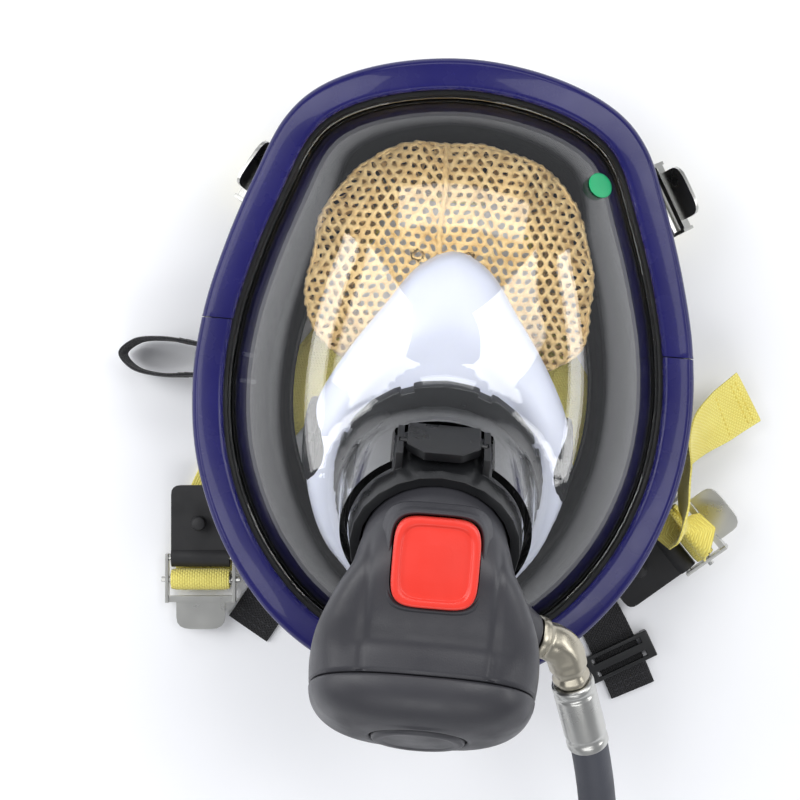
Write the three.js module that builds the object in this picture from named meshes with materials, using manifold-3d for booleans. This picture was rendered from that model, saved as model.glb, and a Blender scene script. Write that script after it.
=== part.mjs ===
// Full-face breathing mask with a plug-in demand valve and its air hose, lying on its back
// on a table. Millimetres, +Z up out of the visor, +Y towards the forehead, +X to the wearer's
// left. The mask is laid out about its own middle and the whole object is shifted at the end,
// so that the origin is at the bottom centre of everything but the hose.
import * as THREE from "three";
import { mergeVertices } from "three/addons/utils/BufferGeometryUtils.js";
import Module from "manifold-3d";

const wasm = await Module();
wasm.setup();
const vec = (x, y, z) => new THREE.Vector3(x, y, z);
const radians = THREE.MathUtils.degToRad;

// ---------------------------------------------------------------- driving dimensions
const GAP = 0.4; // clearance between neighbouring pieces
const AROUND = 36; // points around the mask's outline
const HALF_WIDTH = 100; // of the clamp frame
const FRAME_TOP = 72; // height of the clamp frame's middle plane at the forehead and chin
const FRAME_SWEEP = 14; // how much lower the frame is at the cheeks
const SPLIT_Y = 15; // where the frame's two halves meet
const FLANGE = 15; // inset of the visor dome from the frame's outer edge
const DOME_Y = -8; // the dome's middle
const DOME_APEX = 118;
const VISOR_WALL = 3;
const RIM_LIFT = 2.3; // the seal's rim lies on the straps

const PORT_TILT = 32; // degrees from +Z towards the chin
const PORT_FACE = vec(0, -60, 133); // centre of the port's front ring
const PORT_BORE = 22.6;
const HOUSING_R = 31.3;
const SPIGOT_R = 24.3;
const NECK_R = 26; // neck of the demand valve
const VALVE_WALL = 2.6;
const PURGE_R = 17;

const HOSE_D = 14.5;
const FERRULE_D = 16.2;
const FERRULE_LENGTH = 30;
const COIL_R = 75; // middle of the coil's turns
const COIL_AT = vec(7, -280, 0);
const STRAP_W = 25;
const STRAP_T = 1.6;
const WEB_W = 20;
const WEB_T = 1.7;

// ---------------------------------------------------------------- materials
const material = (color, roughness, metalness = 0, opacity = 1) =>
  new THREE.MeshStandardMaterial({
    color, roughness, metalness, opacity, transparent: opacity < 1,
  });
const clear = material(0xe8eef2, 0.05, 0, 0.3);
const blue = material(0x1d1f63, 0.25);
const blackRubber = material(0x1c1c1e, 0.6);
const blackPlastic = material(0x17181b, 0.4);
const greyRubber = material(0x3f4046, 0.55);
const silicone = material(0xd3d6dc, 0.45);
const red = material(0xf0402c, 0.4);
const steel = material(0xb9b9b6, 0.25, 1);
const nickel = material(0xb4ad9c, 0.35, 1);
const brass = material(0xb08d45, 0.3, 1);
const yellowWeb = material(0xeddc5a, 0.85);
const tanNet = material(0xd9b876, 0.9);
const blackWeb = material(0x141416, 0.9);
const hoseRubber = material(0x3a3b40, 0.6);

// ---------------------------------------------------------------- geometry helpers
const group = new THREE.Group();

function place(name, geometry, finish) {
  const mesh = new THREE.Mesh(geometry, finish.clone());
  mesh.name = name;
  group.add(mesh);
}

// A closed geometry as a solid that can be cut and joined, and back.
function solid(geometry) {
  const bare = geometry.clone();
  bare.deleteAttribute("normal");
  bare.deleteAttribute("uv");
  const merged = mergeVertices(bare, 1e-3);
  return new wasm.Manifold(
    new wasm.Mesh({
      numProp: 3,
      vertProperties: new Float32Array(merged.attributes.position.array),
      triVerts: new Uint32Array(merged.index.array),
    }),
  );
}

function shape(made) {
  const m = made.getMesh();
  const points = Array.from({ length: m.numVert }, (_, i) =>
    vec(...m.vertProperties.subarray(i * m.numProp, i * m.numProp + 3)));
  return new THREE.BufferGeometry().setFromPoints(points).setIndex(Array.from(m.triVerts));
}

const joined = (...geometries) => geometries.map(solid).reduce((a, b) => a.add(b));
const cutBy = (made, ...geometries) => geometries.reduce((a, g) => a.subtract(solid(g)), made);

// Joins rings of points into one closed surface. With closed true the last ring meets the first
// one, as in a ring-shaped body; otherwise both ends are capped.
function loft(rings, closed = false) {
  const n = rings[0].length;
  const points = rings.flat();
  const faces = [];
  const spans = closed ? rings.length : rings.length - 1;
  for (let r = 0; r < spans; r++) {
    const next = (r + 1) % rings.length;
    for (let i = 0; i < n; i++) {
      const j = (i + 1) % n;
      faces.push([r * n + i, r * n + j, next * n + j]);
      faces.push([r * n + i, next * n + j, next * n + i]);
    }
  }
  if (!closed)
    for (const [ring, flip] of [[0, true], [rings.length - 1, false]]) {
      const middle = rings[ring].reduce((sum, p) => sum.add(p), vec(0, 0, 0)).divideScalar(n);
      const centre = points.push(middle) - 1;
      for (let i = 0; i < n; i++) {
        const a = ring * n + i;
        const b = ring * n + ((i + 1) % n);
        faces.push(flip ? [centre, b, a] : [centre, a, b]);
      }
    }
  const volume = faces.reduce(
    (sum, [a, b, c]) => sum + points[a].dot(points[b].clone().cross(points[c])), 0);
  const index = faces.flatMap(([a, b, c]) => (volume < 0 ? [a, c, b] : [a, b, c]));
  return new THREE.BufferGeometry().setFromPoints(points).setIndex(index);
}

// A round body from a closed list of [radius, height] pairs, with its axis along +Z.
function turned(profile, segments = 24) {
  const points = profile.map(([r, z]) => new THREE.Vector2(r, z));
  if (THREE.ShapeUtils.area(points) < 0) points.reverse();
  points.push(points[0].clone());
  return new THREE.LatheGeometry(points, segments).rotateX(Math.PI / 2);
}

const ring = (inner, outer, low, high, segments = 24) =>
  turned([[inner, low], [outer, low], [outer, high], [inner, high]], segments);

const cylinder = (radius, low, high, segments = 24, topRadius = radius) =>
  new THREE.CylinderGeometry(topRadius, radius, high - low, segments)
    .rotateX(Math.PI / 2)
    .translate(0, 0, (low + high) / 2);

const block = (x, y, z, cx, cy, cz) => new THREE.BoxGeometry(x, y, z).translate(cx, cy, cz);

// A rod along Y through a point of the XZ plane.
const rod = (radius, half, x, z, segments = 10) =>
  cylinder(radius, -half, half, segments).rotateX(Math.PI / 2).translate(x, 0, z);

// Puts a geometry built along +Z at a point, with its axis along a direction.
function aim(geometry, at, direction) {
  const turn = new THREE.Quaternion().setFromUnitVectors(vec(0, 0, 1), direction);
  return geometry.applyQuaternion(turn).translate(at.x, at.y, at.z);
}

// A flat band along a path. Each stop is [point, direction of its width].
function ribbon(stops, width, thickness) {
  const rings = stops.map(([p, across], i) => {
    const before = stops[Math.max(0, i - 1)][0];
    const after = stops[Math.min(stops.length - 1, i + 1)][0];
    const along = after.clone().sub(before).normalize();
    const side = across.clone().addScaledVector(along, -across.dot(along)).normalize();
    const up = side.clone().cross(along);
    const corner = (s, u) =>
      p.clone().addScaledVector(side, (s * width) / 2).addScaledVector(up, (u * thickness) / 2);
    return [corner(-1, -1), corner(1, -1), corner(1, 1), corner(-1, 1)];
  });
  return loft(rings);
}

// Points on a rounded rectangle; squareness 2 is an ellipse.
function squareRing(halfWidth, halfHeight, squareness, count) {
  const power = (v) => Math.sign(v) * Math.abs(v) ** (2 / squareness);
  return Array.from({ length: count }, (_, i) => {
    const a = (i / count) * 2 * Math.PI;
    return [power(Math.cos(a)) * halfWidth, power(Math.sin(a)) * halfHeight];
  });
}

// ---------------------------------------------------------------- outline of the mask
// Half of the clamp frame's outer edge, from the forehead round the cheek to the chin.
const HALF_OUTLINE = [
  [0, 124], [36, 119], [60, 108.5], [72, 96], [82, 73], [91, 47], [98, 18],
  [HALF_WIDTH, -12], [95, -44], [80, -77], [56, -104], [28, -119], [0, -123],
];
const mirrored = (half) => [
  ...half,
  ...half.slice(1, -1).reverse().map(([x, y]) => [-x, y]),
];
const closedCurve = (points) => new THREE.CatmullRomCurve3(points, true, "centripetal");
const controls = mirrored(HALF_OUTLINE);
const edge = closedCurve(controls.map(([x, y]) => vec(x, y, 0)));
const inward = controls.map((_, i) => {
  const along = edge.getTangent(i / controls.length);
  return vec(along.y, -along.x, 0);
});
const frameHeight = (x) => FRAME_TOP - FRAME_SWEEP * (x / HALF_WIDTH) ** 2;

// A ring set in from the frame's edge. Its height is rise times the frame's height, plus step.
function outlineRing([inset, rise, step]) {
  const curve = closedCurve(controls.map(([x, y], i) =>
    vec(x + inward[i].x * inset, y + inward[i].y * inset, rise * frameHeight(x) + step)));
  return Array.from({ length: AROUND }, (_, i) => curve.getPoint(i / AROUND));
}

// ---------------------------------------------------------------- local axes
// The port's axes: +Z out of the mask along the valve's plug, +Y towards the forehead.
const portAxes = new THREE.Matrix4().makeRotationX(radians(PORT_TILT)).setPosition(PORT_FACE);
const inPort = (geometry) => geometry.applyMatrix4(portAxes);
const portPoint = (x, y, z) => vec(x, y, z).applyMatrix4(portAxes);

// The exhalation valve's axis, out through the visor below the port.
const EXHALE_AT = vec(0, -98, 86.6);
const EXHALE_AXIS = vec(0, -0.757, 0.653).normalize();
const inExhale = (geometry) => aim(geometry, EXHALE_AT, EXHALE_AXIS);

// The two inhalation valves, one on each side wall of the nose cup.
const INHALE = { x: 47.6, y: -29, z: 69, r: 16.5, lean: 14 };
const inInhale = (geometry, hand) =>
  aim(
    geometry,
    vec(hand * INHALE.x, INHALE.y, INHALE.z),
    vec(hand * Math.cos(radians(INHALE.lean)), 0, Math.sin(radians(INHALE.lean))),
  );

// ---------------------------------------------------------------- visor
const DOME_STEPS = [0.16, 0.36, 0.54, 0.7, 0.84, 0.94];
const NECK_FLANGE = [-41.6, -38.6]; // the port neck's inner flange
const NOTCH_HALF = 18; // room for the release latch in the port's neck

function domeRings(wall) {
  const foot = outlineRing([FLANGE + wall, 1, 0]);
  return [...DOME_STEPS, 1].map((t) =>
    foot.map((p) => {
      const rise = (1 - t ** 2.4) ** 0.75;
      const y = DOME_Y + (p.y - DOME_Y) * t;
      return vec(p.x * t, y, p.z + (DOME_APEX - wall - p.z) * rise);
    }));
}

function visor() {
  const flange = [[FLANGE + VISOR_WALL, 1, -3], [6.7, 1, -3], [6.7, 1, 0]].map(outlineRing);
  const shell = loft([...domeRings(VISOR_WALL).slice(0, -1), ...flange, ...domeRings(0).reverse()]);
  const neck = inPort(turned([
    [0, NECK_FLANGE[0]], [41, NECK_FLANGE[0]], [40, -37], [37, -30], [34.6, -4], [0, -4],
  ]));
  const boss = inExhale(cylinder(12.8, -5, 1.5, 20));
  return shape(cutBy(
    joined(shell, neck, boss),
    inPort(cylinder(HOUSING_R + GAP, NECK_FLANGE[1], 20)),
    inPort(cylinder(SPIGOT_R + GAP, -60, 0)),
    inPort(cylinder(38.4, -60, NECK_FLANGE[0])),
    inPort(block(2 * NOTCH_HALF, 22, 30, 0, 37, -7)),
    inExhale(cylinder(9.4, -12, 10, 20)),
  ));
}
place("visor", visor(), clear);

// ---------------------------------------------------------------- clamp frame, in two halves
const FRAME_PROFILE = [
  [0, 1, -7.6], [0, 1, 3.8], [2.2, 1, 6.2], [11.4, 1, 6.2], [12.6, 1, 5], [12.6, 1, 2.8],
  [3, 1, 2.8], [3, 1, -5.9], [8, 1, -5.9], [8, 1, -8.4], [0.8, 1, -8.4],
];
const LUG = { x: 93.8, z: 46, width: 6.4, height: 12, length: 8 };
const screwAt = (hand) => vec(hand * LUG.x, SPLIT_Y, LUG.z);

function frameHalf(side) {
  const whole = loft(FRAME_PROFILE.map(outlineRing), true);
  const away = block(300, 300, 300, 0, SPLIT_Y - side * (150 - GAP / 2), 0);
  let half = cutBy(solid(whole), away);
  for (const hand of [-1, 1]) {
    const y = SPLIT_Y + side * (LUG.length / 2 + GAP / 2);
    const lug = block(LUG.width, LUG.length, LUG.height, hand * LUG.x, y, LUG.z);
    const hole = aim(cylinder(1.9, -30, 30, 16), screwAt(hand), vec(0, 1, 0));
    half = cutBy(half.add(solid(lug)), hole);
  }
  return shape(half);
}
place("frame_upper", frameHalf(1), blue);
place("frame_lower", frameHalf(-1), blue);

for (const [name, hand] of [["frame_screw_right", -1], ["frame_screw_left", 1]]) {
  const end = LUG.length + GAP + 0.2;
  const screw = turned([
    [0, -end - 1.6], [1.5, -end - 1.6], [1.5, end], [2.9, end], [2.9, end + 2.4], [0, end + 2.4],
  ], 12);
  place(name, aim(screw, screwAt(hand), vec(0, 1, 0)), steel);
}

// ---------------------------------------------------------------- face seal
// The bead grips the visor's flange, the skirt goes back to the rim, and the lip turns in
// against the face. Each entry is [inset, rise, step].
const SKIRT_OUTSIDE = [
  [9.6, 1, -13], [11.4, 0.5, 0], [15.6, 0, 14], [21, 0, 5], [26, 0, RIM_LIFT],
];
const SEAL_PROFILE = [
  [14.3, 1, 2.4], [3.4, 1, 2.4], [3.4, 1, -5.5], [8.7, 1, -5.5],
  ...SKIRT_OUTSIDE, [30, 0, RIM_LIFT + 1], [34.5, 0, 10], [38, 0, 20],
  [36, 0, 21], [32.4, 0, 12.4], [28.8, 0, 6.4], [25.4, 0, 5.8], [19.2, 0, 15.6],
  [14.6, 0.5, 0], [13.2, 1, -13], [12.8, 1, -6.4], [15.4, 1, -5.8], [15.4, 1, -3.4],
  [6.3, 1, -3.4], [6.3, 1, 0.4], [14.3, 1, 0.4],
];
place("face_seal", loft(SEAL_PROFILE.map(outlineRing), true), blackRubber);

// Everything inside the skirt, a little larger, for cutting what is joined to it.
const skirtBlock = () =>
  loft([...SKIRT_OUTSIDE, [29, 0, RIM_LIFT - GAP]].map(([inset, rise, step]) =>
    outlineRing([inset - GAP, rise, step])));

// ---------------------------------------------------------------- port: housing, nut, latch
const LATCH = { half: 13, thickness: 3.4, low: -21.4, high: -3, y: 33.4, hinge: -12 };
const POST_X = 15.4;

function portHousing() {
  const body = turned([
    [PORT_BORE, -57], [SPIGOT_R, -57], [SPIGOT_R, -38.2], [HOUSING_R, -38.2], [HOUSING_R, -3],
    [30.4, 5], [26.9, 5], [26.9, -9], [PORT_BORE, -9],
  ]);
  const pocket = block(2 * POST_X, 8, 26, 0, 33.4, -12);
  const post = (hand) => block(2.4, 9, 18, hand * POST_X, 29.5, -12);
  const pinHole = cylinder(1.4, -15.9, 15.9, 12)
    .rotateY(Math.PI / 2).translate(0, LATCH.y, LATCH.hinge);
  return shape(cutBy(cutBy(solid(body), pocket).add(joined(post(-1), post(1))), pinHole));
}
place("port_housing", inPort(portHousing()), blackPlastic);

function portNut() {
  const grips = Array.from({ length: 8 }, (_, i) =>
    block(5, 3, 8, 0, 37.6, -45).rotateZ(((i + 0.5) * Math.PI) / 4));
  return shape(cutBy(solid(ring(SPIGOT_R + GAP, 37.8, -47, -42)), ...grips));
}
place("port_nut", inPort(portNut()), blackPlastic);

function latch() {
  const { half, thickness, low, high, y, hinge } = LATCH;
  const face = new THREE.Shape([
    [-half, low], [half, low], [half, high - 5], [half / 2, high], [-half / 2, high],
    [-half, high - 5],
  ].map(([x, z]) => new THREE.Vector2(x, z)));
  const plate = new THREE.ExtrudeGeometry(face, { depth: thickness, bevelEnabled: false })
    .rotateX(Math.PI / 2)
    .translate(0, y + thickness / 2, 0);
  const pin = cylinder(1, -15.5, 15.5, 12).rotateY(Math.PI / 2).translate(0, y, hinge);
  return shape(joined(plate, pin));
}
place("release_latch", inPort(latch()), blackPlastic);

// ---------------------------------------------------------------- exhalation valve
function exhaleSeat() {
  const body = turned([
    [7, -4.4], [9, -4.4], [9, 1.9], [12, 1.9], [12, 3.2], [9.4, 3.2], [9, 3.9], [7, 3.9],
  ], 20);
  const bars = [0, 60, 120].map((a) => block(15, 1.6, 2, 0, 0, -3.2).rotateZ(radians(a)));
  return shape(cutBy(joined(body, ...bars, cylinder(2.6, -4.4, 0, 12)), cylinder(1.5, -9, 9, 10)));
}
place("exhale_seat", inExhale(exhaleSeat()), blackPlastic);
place("exhale_disc", inExhale(turned([
  [0, -5.2], [1.1, -5.2], [1.1, 4.3], [8.8, 4.3], [8.8, 5.3], [0, 5.3],
], 16)), silicone);
place("exhale_spring", inExhale(ring(3.2, 3.8, 5.7, 8.8, 16)), steel);

function exhaleCover() {
  const body = turned([
    [12.4, 1.9], [13.3, 1.9], [13.3, 8], [11, 10.6], [0, 10.6], [0, 9.2], [10.3, 9.2], [12.4, 7.2],
  ], 20);
  const windows = [0, 60, 120].map((a) => block(40, 5, 3.4, 0, 0, 5.4).rotateZ(radians(a)));
  return shape(cutBy(solid(body), ...windows));
}
place("exhale_cover", inExhale(exhaleCover()), blackPlastic);

// ---------------------------------------------------------------- nose cup
// Half of the rim that lies on the face, from the nose bridge to the chin.
const CUP_HALF = [
  [0, 46], [13, 40], [26, 23], [39, 4], [48, -14], [51, -31], [48.5, -51], [40, -70], [23, -86],
  [0, -91],
];
const CUP_AROUND = 24;
const CUP_MIDDLE_Y = -30;
const CUP_RIM_Z = 35;
const CUP_NECK_R = 27.4;
const cupRim = closedCurve(mirrored(CUP_HALF).map(([x, y]) => vec(x, y, CUP_RIM_Z)));
const cupPoints = Array.from({ length: CUP_AROUND }, (_, i) => cupRim.getPoint(i / CUP_AROUND));
const cupTurn = (p) => Math.atan2(p.y - CUP_MIDDLE_Y, p.x);
const portRing = (radius, z) =>
  cupPoints.map((p) => portPoint(radius * Math.cos(cupTurn(p)), radius * Math.sin(cupTurn(p)), z));

// A ring between the rim and the neck: how far in, how far up, and how far inside the surface.
function cupRing([inFrom, up, wall]) {
  const neck = portRing(CUP_NECK_R, -58);
  return cupPoints.map((p, i) => {
    const q = vec(p.x, p.y, 0).lerp(vec(neck[i].x, neck[i].y, 0), inFrom);
    const reach = Math.hypot(q.x, q.y - CUP_MIDDLE_Y);
    const keep = 1 - wall / reach;
    return vec(
      q.x * keep,
      CUP_MIDDLE_Y + (q.y - CUP_MIDDLE_Y) * keep,
      CUP_RIM_Z + (neck[i].z - CUP_RIM_Z) * up - wall * 0.7 * up,
    );
  });
}

function noseCup() {
  const wall = 2.2;
  const outside = [[0.16, -0.03, 0], [0, 0, 0], [-0.05, 0.3, 0], [-0.04, 0.65, 0], [0.05, 0.92, 0],
    [0.45, 1.07, 0]];
  const inside = outside.slice(1).reverse().map(([inFrom, up]) => [inFrom, up, wall]);
  const rings = [
    ...outside.map(cupRing), portRing(CUP_NECK_R, -57), portRing(CUP_NECK_R, -47.6),
    portRing(SPIGOT_R + GAP, -47.6), portRing(SPIGOT_R + GAP, -60),
    ...inside.map(cupRing), cupRing([0.19, 0.02, 0]),
  ];
  const holes = [-1, 1].map((hand) => inInhale(cylinder(INHALE.r + GAP, -14, 14, 20), hand));
  return shape(cutBy(solid(loft(rings, true)), ...holes));
}
place("nose_cup", noseCup(), silicone);

function inhaleSeat() {
  const body = turned([[12.4, -2.4], [INHALE.r, -2.4], [INHALE.r, 3], [13.4, 3]], 20);
  const bar = (a) => block(26, 3, 2, 0, 0, 0.4).rotateZ(radians(a));
  return shape(joined(body, bar(0), bar(90)));
}
for (const [name, hand] of [["right", -1], ["left", 1]]) {
  place(`inhale_seat_${name}`, inInhale(inhaleSeat(), hand), blackPlastic);
  place(`inhale_flap_${name}`, inInhale(cylinder(14.4, -3.8, -2.8, 20), hand), silicone);
}

// ---------------------------------------------------------------- demand valve body
// Sections of the body: top and bottom point in the YZ plane, half width, squareness.
function neckSection(z) {
  const top = portPoint(0, NECK_R, z);
  const bottom = portPoint(0, -NECK_R, z);
  return [[top.y, top.z], [bottom.y, bottom.z], NECK_R, 2];
}
const SECTIONS = [
  neckSection(-3),
  neckSection(6),
  [[-49, 161], [-90, 121], 27.4, 2.4],
  [[-58, 165.5], [-97, 116.5], 29.5, 2.8],
  [[-68, 167], [-105, 111.5], 34.5, 3],
  [[-82, 164], [-114, 106], 39.5, 3],
  [[-94, 160.5], [-122, 101], 41, 2.9],
  [[-104, 160.5], [-129, 97.5], 40.6, 2.8],
].map(([top, bottom, half, squareness]) => {
  const up = vec(0, top[0] - bottom[0], top[1] - bottom[1]);
  return {
    centre: vec(0, (top[0] + bottom[0]) / 2, (top[1] + bottom[1]) / 2),
    high: up.length() / 2,
    up: up.normalize(),
    half,
    squareness,
  };
});
const VALVE_AROUND = 24;
const valveRing = ({ centre, up, high, half, squareness }, inset = 0) =>
  squareRing(half - inset, high - inset, squareness, VALVE_AROUND).map(([x, y]) =>
    centre.clone().add(vec(x, 0, 0)).addScaledVector(up, y));
const valveFilled = (inset) => solid(loft(SECTIONS.map((s) => valveRing(s, inset))));

// The wide end's axes: +Z out of the opening, +Y towards the valve's top side.
const mouth = SECTIONS.at(-1);
const capAxes = new THREE.Matrix4()
  .makeRotationX(Math.atan2(mouth.up.z, mouth.up.y))
  .setPosition(mouth.centre);
const inCap = (geometry) => geometry.applyMatrix4(capAxes);
const capPoint = (x, y, z) => vec(x, y, z).applyMatrix4(capAxes);

// The air inlet on the valve's side, and the hose's direction after the elbow.
const INLET = vec(39, -93, 118);
const INLET_AXIS = vec(0.89, -0.25, -0.38).normalize();
const HOSE_AXIS = vec(0.322, -0.828, -0.46).normalize();
const inInlet = (geometry) => aim(geometry, INLET, INLET_AXIS);
const onInlet = (distance) => INLET.clone().addScaledVector(INLET_AXIS, distance);

// The reset button on the valve's top side, in a raised well.
const BUTTON = { y: -65, z: 158.5, width: 29.5, length: 30.5, corner: 7, low: 3.4, high: 12.4 };
function roundedBlock(grow, low, high) {
  const w = (BUTTON.width + grow) / 2;
  const l = (BUTTON.length + grow) / 2;
  const c = BUTTON.corner;
  const s = new THREE.Shape();
  s.moveTo(-w + c, -l);
  s.lineTo(w - c, -l);
  s.quadraticCurveTo(w, -l, w, -l + c);
  s.lineTo(w, l - c);
  s.quadraticCurveTo(w, l, w - c, l);
  s.lineTo(-w + c, l);
  s.quadraticCurveTo(-w, l, -w, l - c);
  s.lineTo(-w, -l + c);
  s.quadraticCurveTo(-w, -l, -w + c, -l);
  return new THREE.ExtrudeGeometry(s, {
    depth: high - low, bevelEnabled: false, curveSegments: 4,
  }).translate(0, BUTTON.y, BUTTON.z + low);
}
const buttonStem = (radius, low, high) =>
  cylinder(radius, low, high, 16).translate(0, BUTTON.y, BUTTON.z);

function valveHousing() {
  const outside = SECTIONS.map((s) => valveRing(s));
  const inside = SECTIONS.map((s) => valveRing(s, VALVE_WALL)).reverse();
  const shell = solid(loft([...outside, ...inside], true));
  const boss = solid(inInlet(cylinder(12, -14, 0, 20, 7.6))).subtract(valveFilled(VALVE_WALL));
  const plate = solid(inCap(ring(23.5, 60, -7, -5))).intersect(valveFilled(VALVE_WALL / 2));
  return shape(cutBy(
    shell.add(boss).add(plate).add(solid(roundedBlock(6, -3, 6.6))),
    roundedBlock(1, 0, 20),
    buttonStem(3.4, -10, 10),
    inInlet(cylinder(4.9, -34, 6, 16)),
  ));
}
place("valve_housing", valveHousing(), greyRubber);
place("reset_button", shape(joined(
  roundedBlock(0, BUTTON.low, BUTTON.high), buttonStem(2.9, -8, BUTTON.low + 1))), red);

// End cap: a shallow dome with a round opening for the purge button.
const CAP_DEPTH = 16.5;
const CAP_LEVELS = [0, 0.25, 0.5, 0.7, 0.88];
function capRing(level, inset) {
  const a = (level * Math.PI) / 2;
  const grow = Math.cos(a) ** 0.62;
  const z = (CAP_DEPTH - inset) * Math.sin(a) + GAP;
  return squareRing(mouth.half * grow - inset, mouth.high * grow - inset, mouth.squareness,
    VALVE_AROUND).map(([x, y]) => vec(x, y, z));
}
function endCap() {
  const outside = CAP_LEVELS.map((level) => capRing(level, 0));
  const inside = CAP_LEVELS.map((level) => capRing(level, VALVE_WALL)).reverse();
  return shape(cutBy(solid(loft([...inside, ...outside])), cylinder(PURGE_R + GAP, 6, 40)));
}
place("end_cap", inCap(endCap()), greyRubber);
place("purge_button", inCap(turned([
  [0, -2.2], [3.5, -2.2], [3.5, 10.6], [18, 10.6], [18, 11.6], [PURGE_R, 12], [PURGE_R, 16.6],
  [PURGE_R - 1.6, 17.6], [0, 18],
])), greyRubber);

// ---------------------------------------------------------------- demand valve inside
place("diaphragm", inCap(turned([
  [0, -4.6], [26, -4.6], [26, -3.8], [11, -3.8], [11, -2.6], [0, -2.6],
])), blackRubber);
place("inlet_valve", inInlet(ring(2.6, 4.5, -34, -1, 16)), brass);
place("inlet_poppet", inInlet(turned([
  [0, -36.2], [3.6, -36.2], [3.6, -34.4], [1.5, -34.4], [1.5, -20], [0, -20],
], 16)), nickel);
place("poppet_spring", inInlet(ring(1.8, 2.3, -33, -21, 12)), steel);

// The lever lies between the poppet's head and the diaphragm's plate.
const LEVER_PIVOT = onInlet(-40.8);
const LEVER_TIP = capPoint(0, 0, -6.2);
function lever() {
  const along = LEVER_TIP.clone().sub(LEVER_PIVOT);
  const arm = block(5, 1.6, along.length(), 0, 0, along.length() / 2);
  const hub = cylinder(2.6, -3, 3, 16).rotateY(Math.PI / 2);
  return aim(shape(joined(arm, hub)), LEVER_PIVOT, along.normalize());
}
place("demand_lever", lever(), steel);

// The plug that goes into the port, with its seal ring.
const PLUG_R = 21.9;
place("plug", inPort(turned([
  [17, -33], [PLUG_R, -33], [PLUG_R, -26], [19.4, -26], [19.4, -22.6], [PLUG_R, -22.6],
  [PLUG_R, -8], [23, -8], [23, -3.4], [17, -3.4],
])), blackPlastic);
place("plug_seal_ring", inPort(ring(19.7, 22.2, -25.6, -23)), blackRubber);

// ---------------------------------------------------------------- inlet elbow and ferrule
const ELBOW_R = 7.2;
const ELBOW_REACH = 13.5;
const ELBOW_DROP = 16.5;
const ELBOW_CORNER = onInlet(ELBOW_REACH);
const onHose = (distance) => ELBOW_CORNER.clone().addScaledVector(HOSE_AXIS, distance);

place("inlet_elbow", shape(joined(
  inInlet(cylinder(ELBOW_R + 1, GAP, 5, 12)),
  inInlet(cylinder(ELBOW_R, 3, ELBOW_REACH, 12)),
  new THREE.SphereGeometry(ELBOW_R, 12, 6).translate(...ELBOW_CORNER),
  aim(cylinder(ELBOW_R - 0.4, 0, ELBOW_DROP - GAP, 12), ELBOW_CORNER, HOSE_AXIS),
)), nickel);
place("hose_ferrule", aim(turned([
  [4, 0], [FERRULE_D / 2 - 0.6, 0], [FERRULE_D / 2, 0.8], [FERRULE_D / 2, FERRULE_LENGTH],
  [6, FERRULE_LENGTH], [6, FERRULE_LENGTH - 2], [4, FERRULE_LENGTH - 2],
], 16), onHose(ELBOW_DROP), HOSE_AXIS), steel);

// ---------------------------------------------------------------- hose
// From the ferrule down to a coil of two layers on the table, then a tail with its connector.
const HOSE_R = HOSE_D / 2;
const TOP_LAYER = HOSE_R + HOSE_D;
const HOSE_START = ELBOW_DROP + FERRULE_LENGTH + GAP;
const HOSE_ROUTE = [
  onHose(HOSE_START), onHose(HOSE_START + 8),
  vec(73.4, -160, 78.5), vec(77, -180, 68), vec(79.8, -200, 57.4), vec(81.4, -220, 47),
  vec(82, -240, 37), vec(82, -256, 29.6), vec(82, -270, TOP_LAYER + 2),
];
const TAIL_START = vec(COIL_AT.x - 16, COIL_AT.y - COIL_R, HOSE_R);
const TAIL_END = vec(COIL_AT.x - 76, COIL_AT.y - COIL_R, HOSE_R);

function hoseTube(route, steps) {
  return new THREE.ExtrudeGeometry(new THREE.Shape().absarc(0, 0, HOSE_R, 0, Math.PI * 2), {
    extrudePath: new THREE.CatmullRomCurve3(route, false, "centripetal"),
    steps,
    curveSegments: 5,
    bevelEnabled: false,
  });
}
const coilRing = (grow) =>
  ring(COIL_R - HOSE_R - grow, COIL_R + HOSE_R + grow, -grow, 2 * HOSE_D + grow, 32)
    .translate(COIL_AT.x, COIL_AT.y, 0);
const clearOfCoil = (geometry) => shape(cutBy(solid(geometry), coilRing(GAP)));

place("hose", clearOfCoil(hoseTube(HOSE_ROUTE, 10)), hoseRubber);
place("hose_coil", coilRing(0), hoseRubber);
place("hose_tail", clearOfCoil(hoseTube([TAIL_START, TAIL_END], 2)), hoseRubber);

const CONNECTOR_R = 7.4;
const onTail = (geometry) => aim(geometry, TAIL_END.clone().add(vec(0, 0, 0.3)), vec(-1, 0, 0));
place("hose_connector", onTail(turned([
  [3, GAP], [CONNECTOR_R, GAP], [CONNECTOR_R, 16], [5.6, 16], [5.6, 27.6], [4.6, 28.4],
  [4.6, 38], [3, 38],
], 16)), nickel);
place("connector_sleeve", onTail(ring(6, CONNECTOR_R, 16.6, 26, 16)), brass);

// ---------------------------------------------------------------- strap buckles
// Each set is built in its own axes: +X away from the mask through the tab, the roll, the
// roller and the release lever; +Z up. The pin's height is the same for all of them.
const PIN_Z = 7.5;
const ROLL_X = 15;
const ROLL_R = 4.2;
const ROLLER_X = 24.5;
const BAR_X = 33;
const LEVER_X = 46;
const TAB_T = 2.6;

function studGeometry() {
  return turned([
    [0, PIN_Z - 1.8], [4.2, PIN_Z - 1.8], [4.2, PIN_Z + 0.4], [1.9, PIN_Z + 0.4], [1.9, 12],
    [3, 13], [3.4, 14.6], [2.6, 16.6], [0, 17.4],
  ], 16);
}

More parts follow.
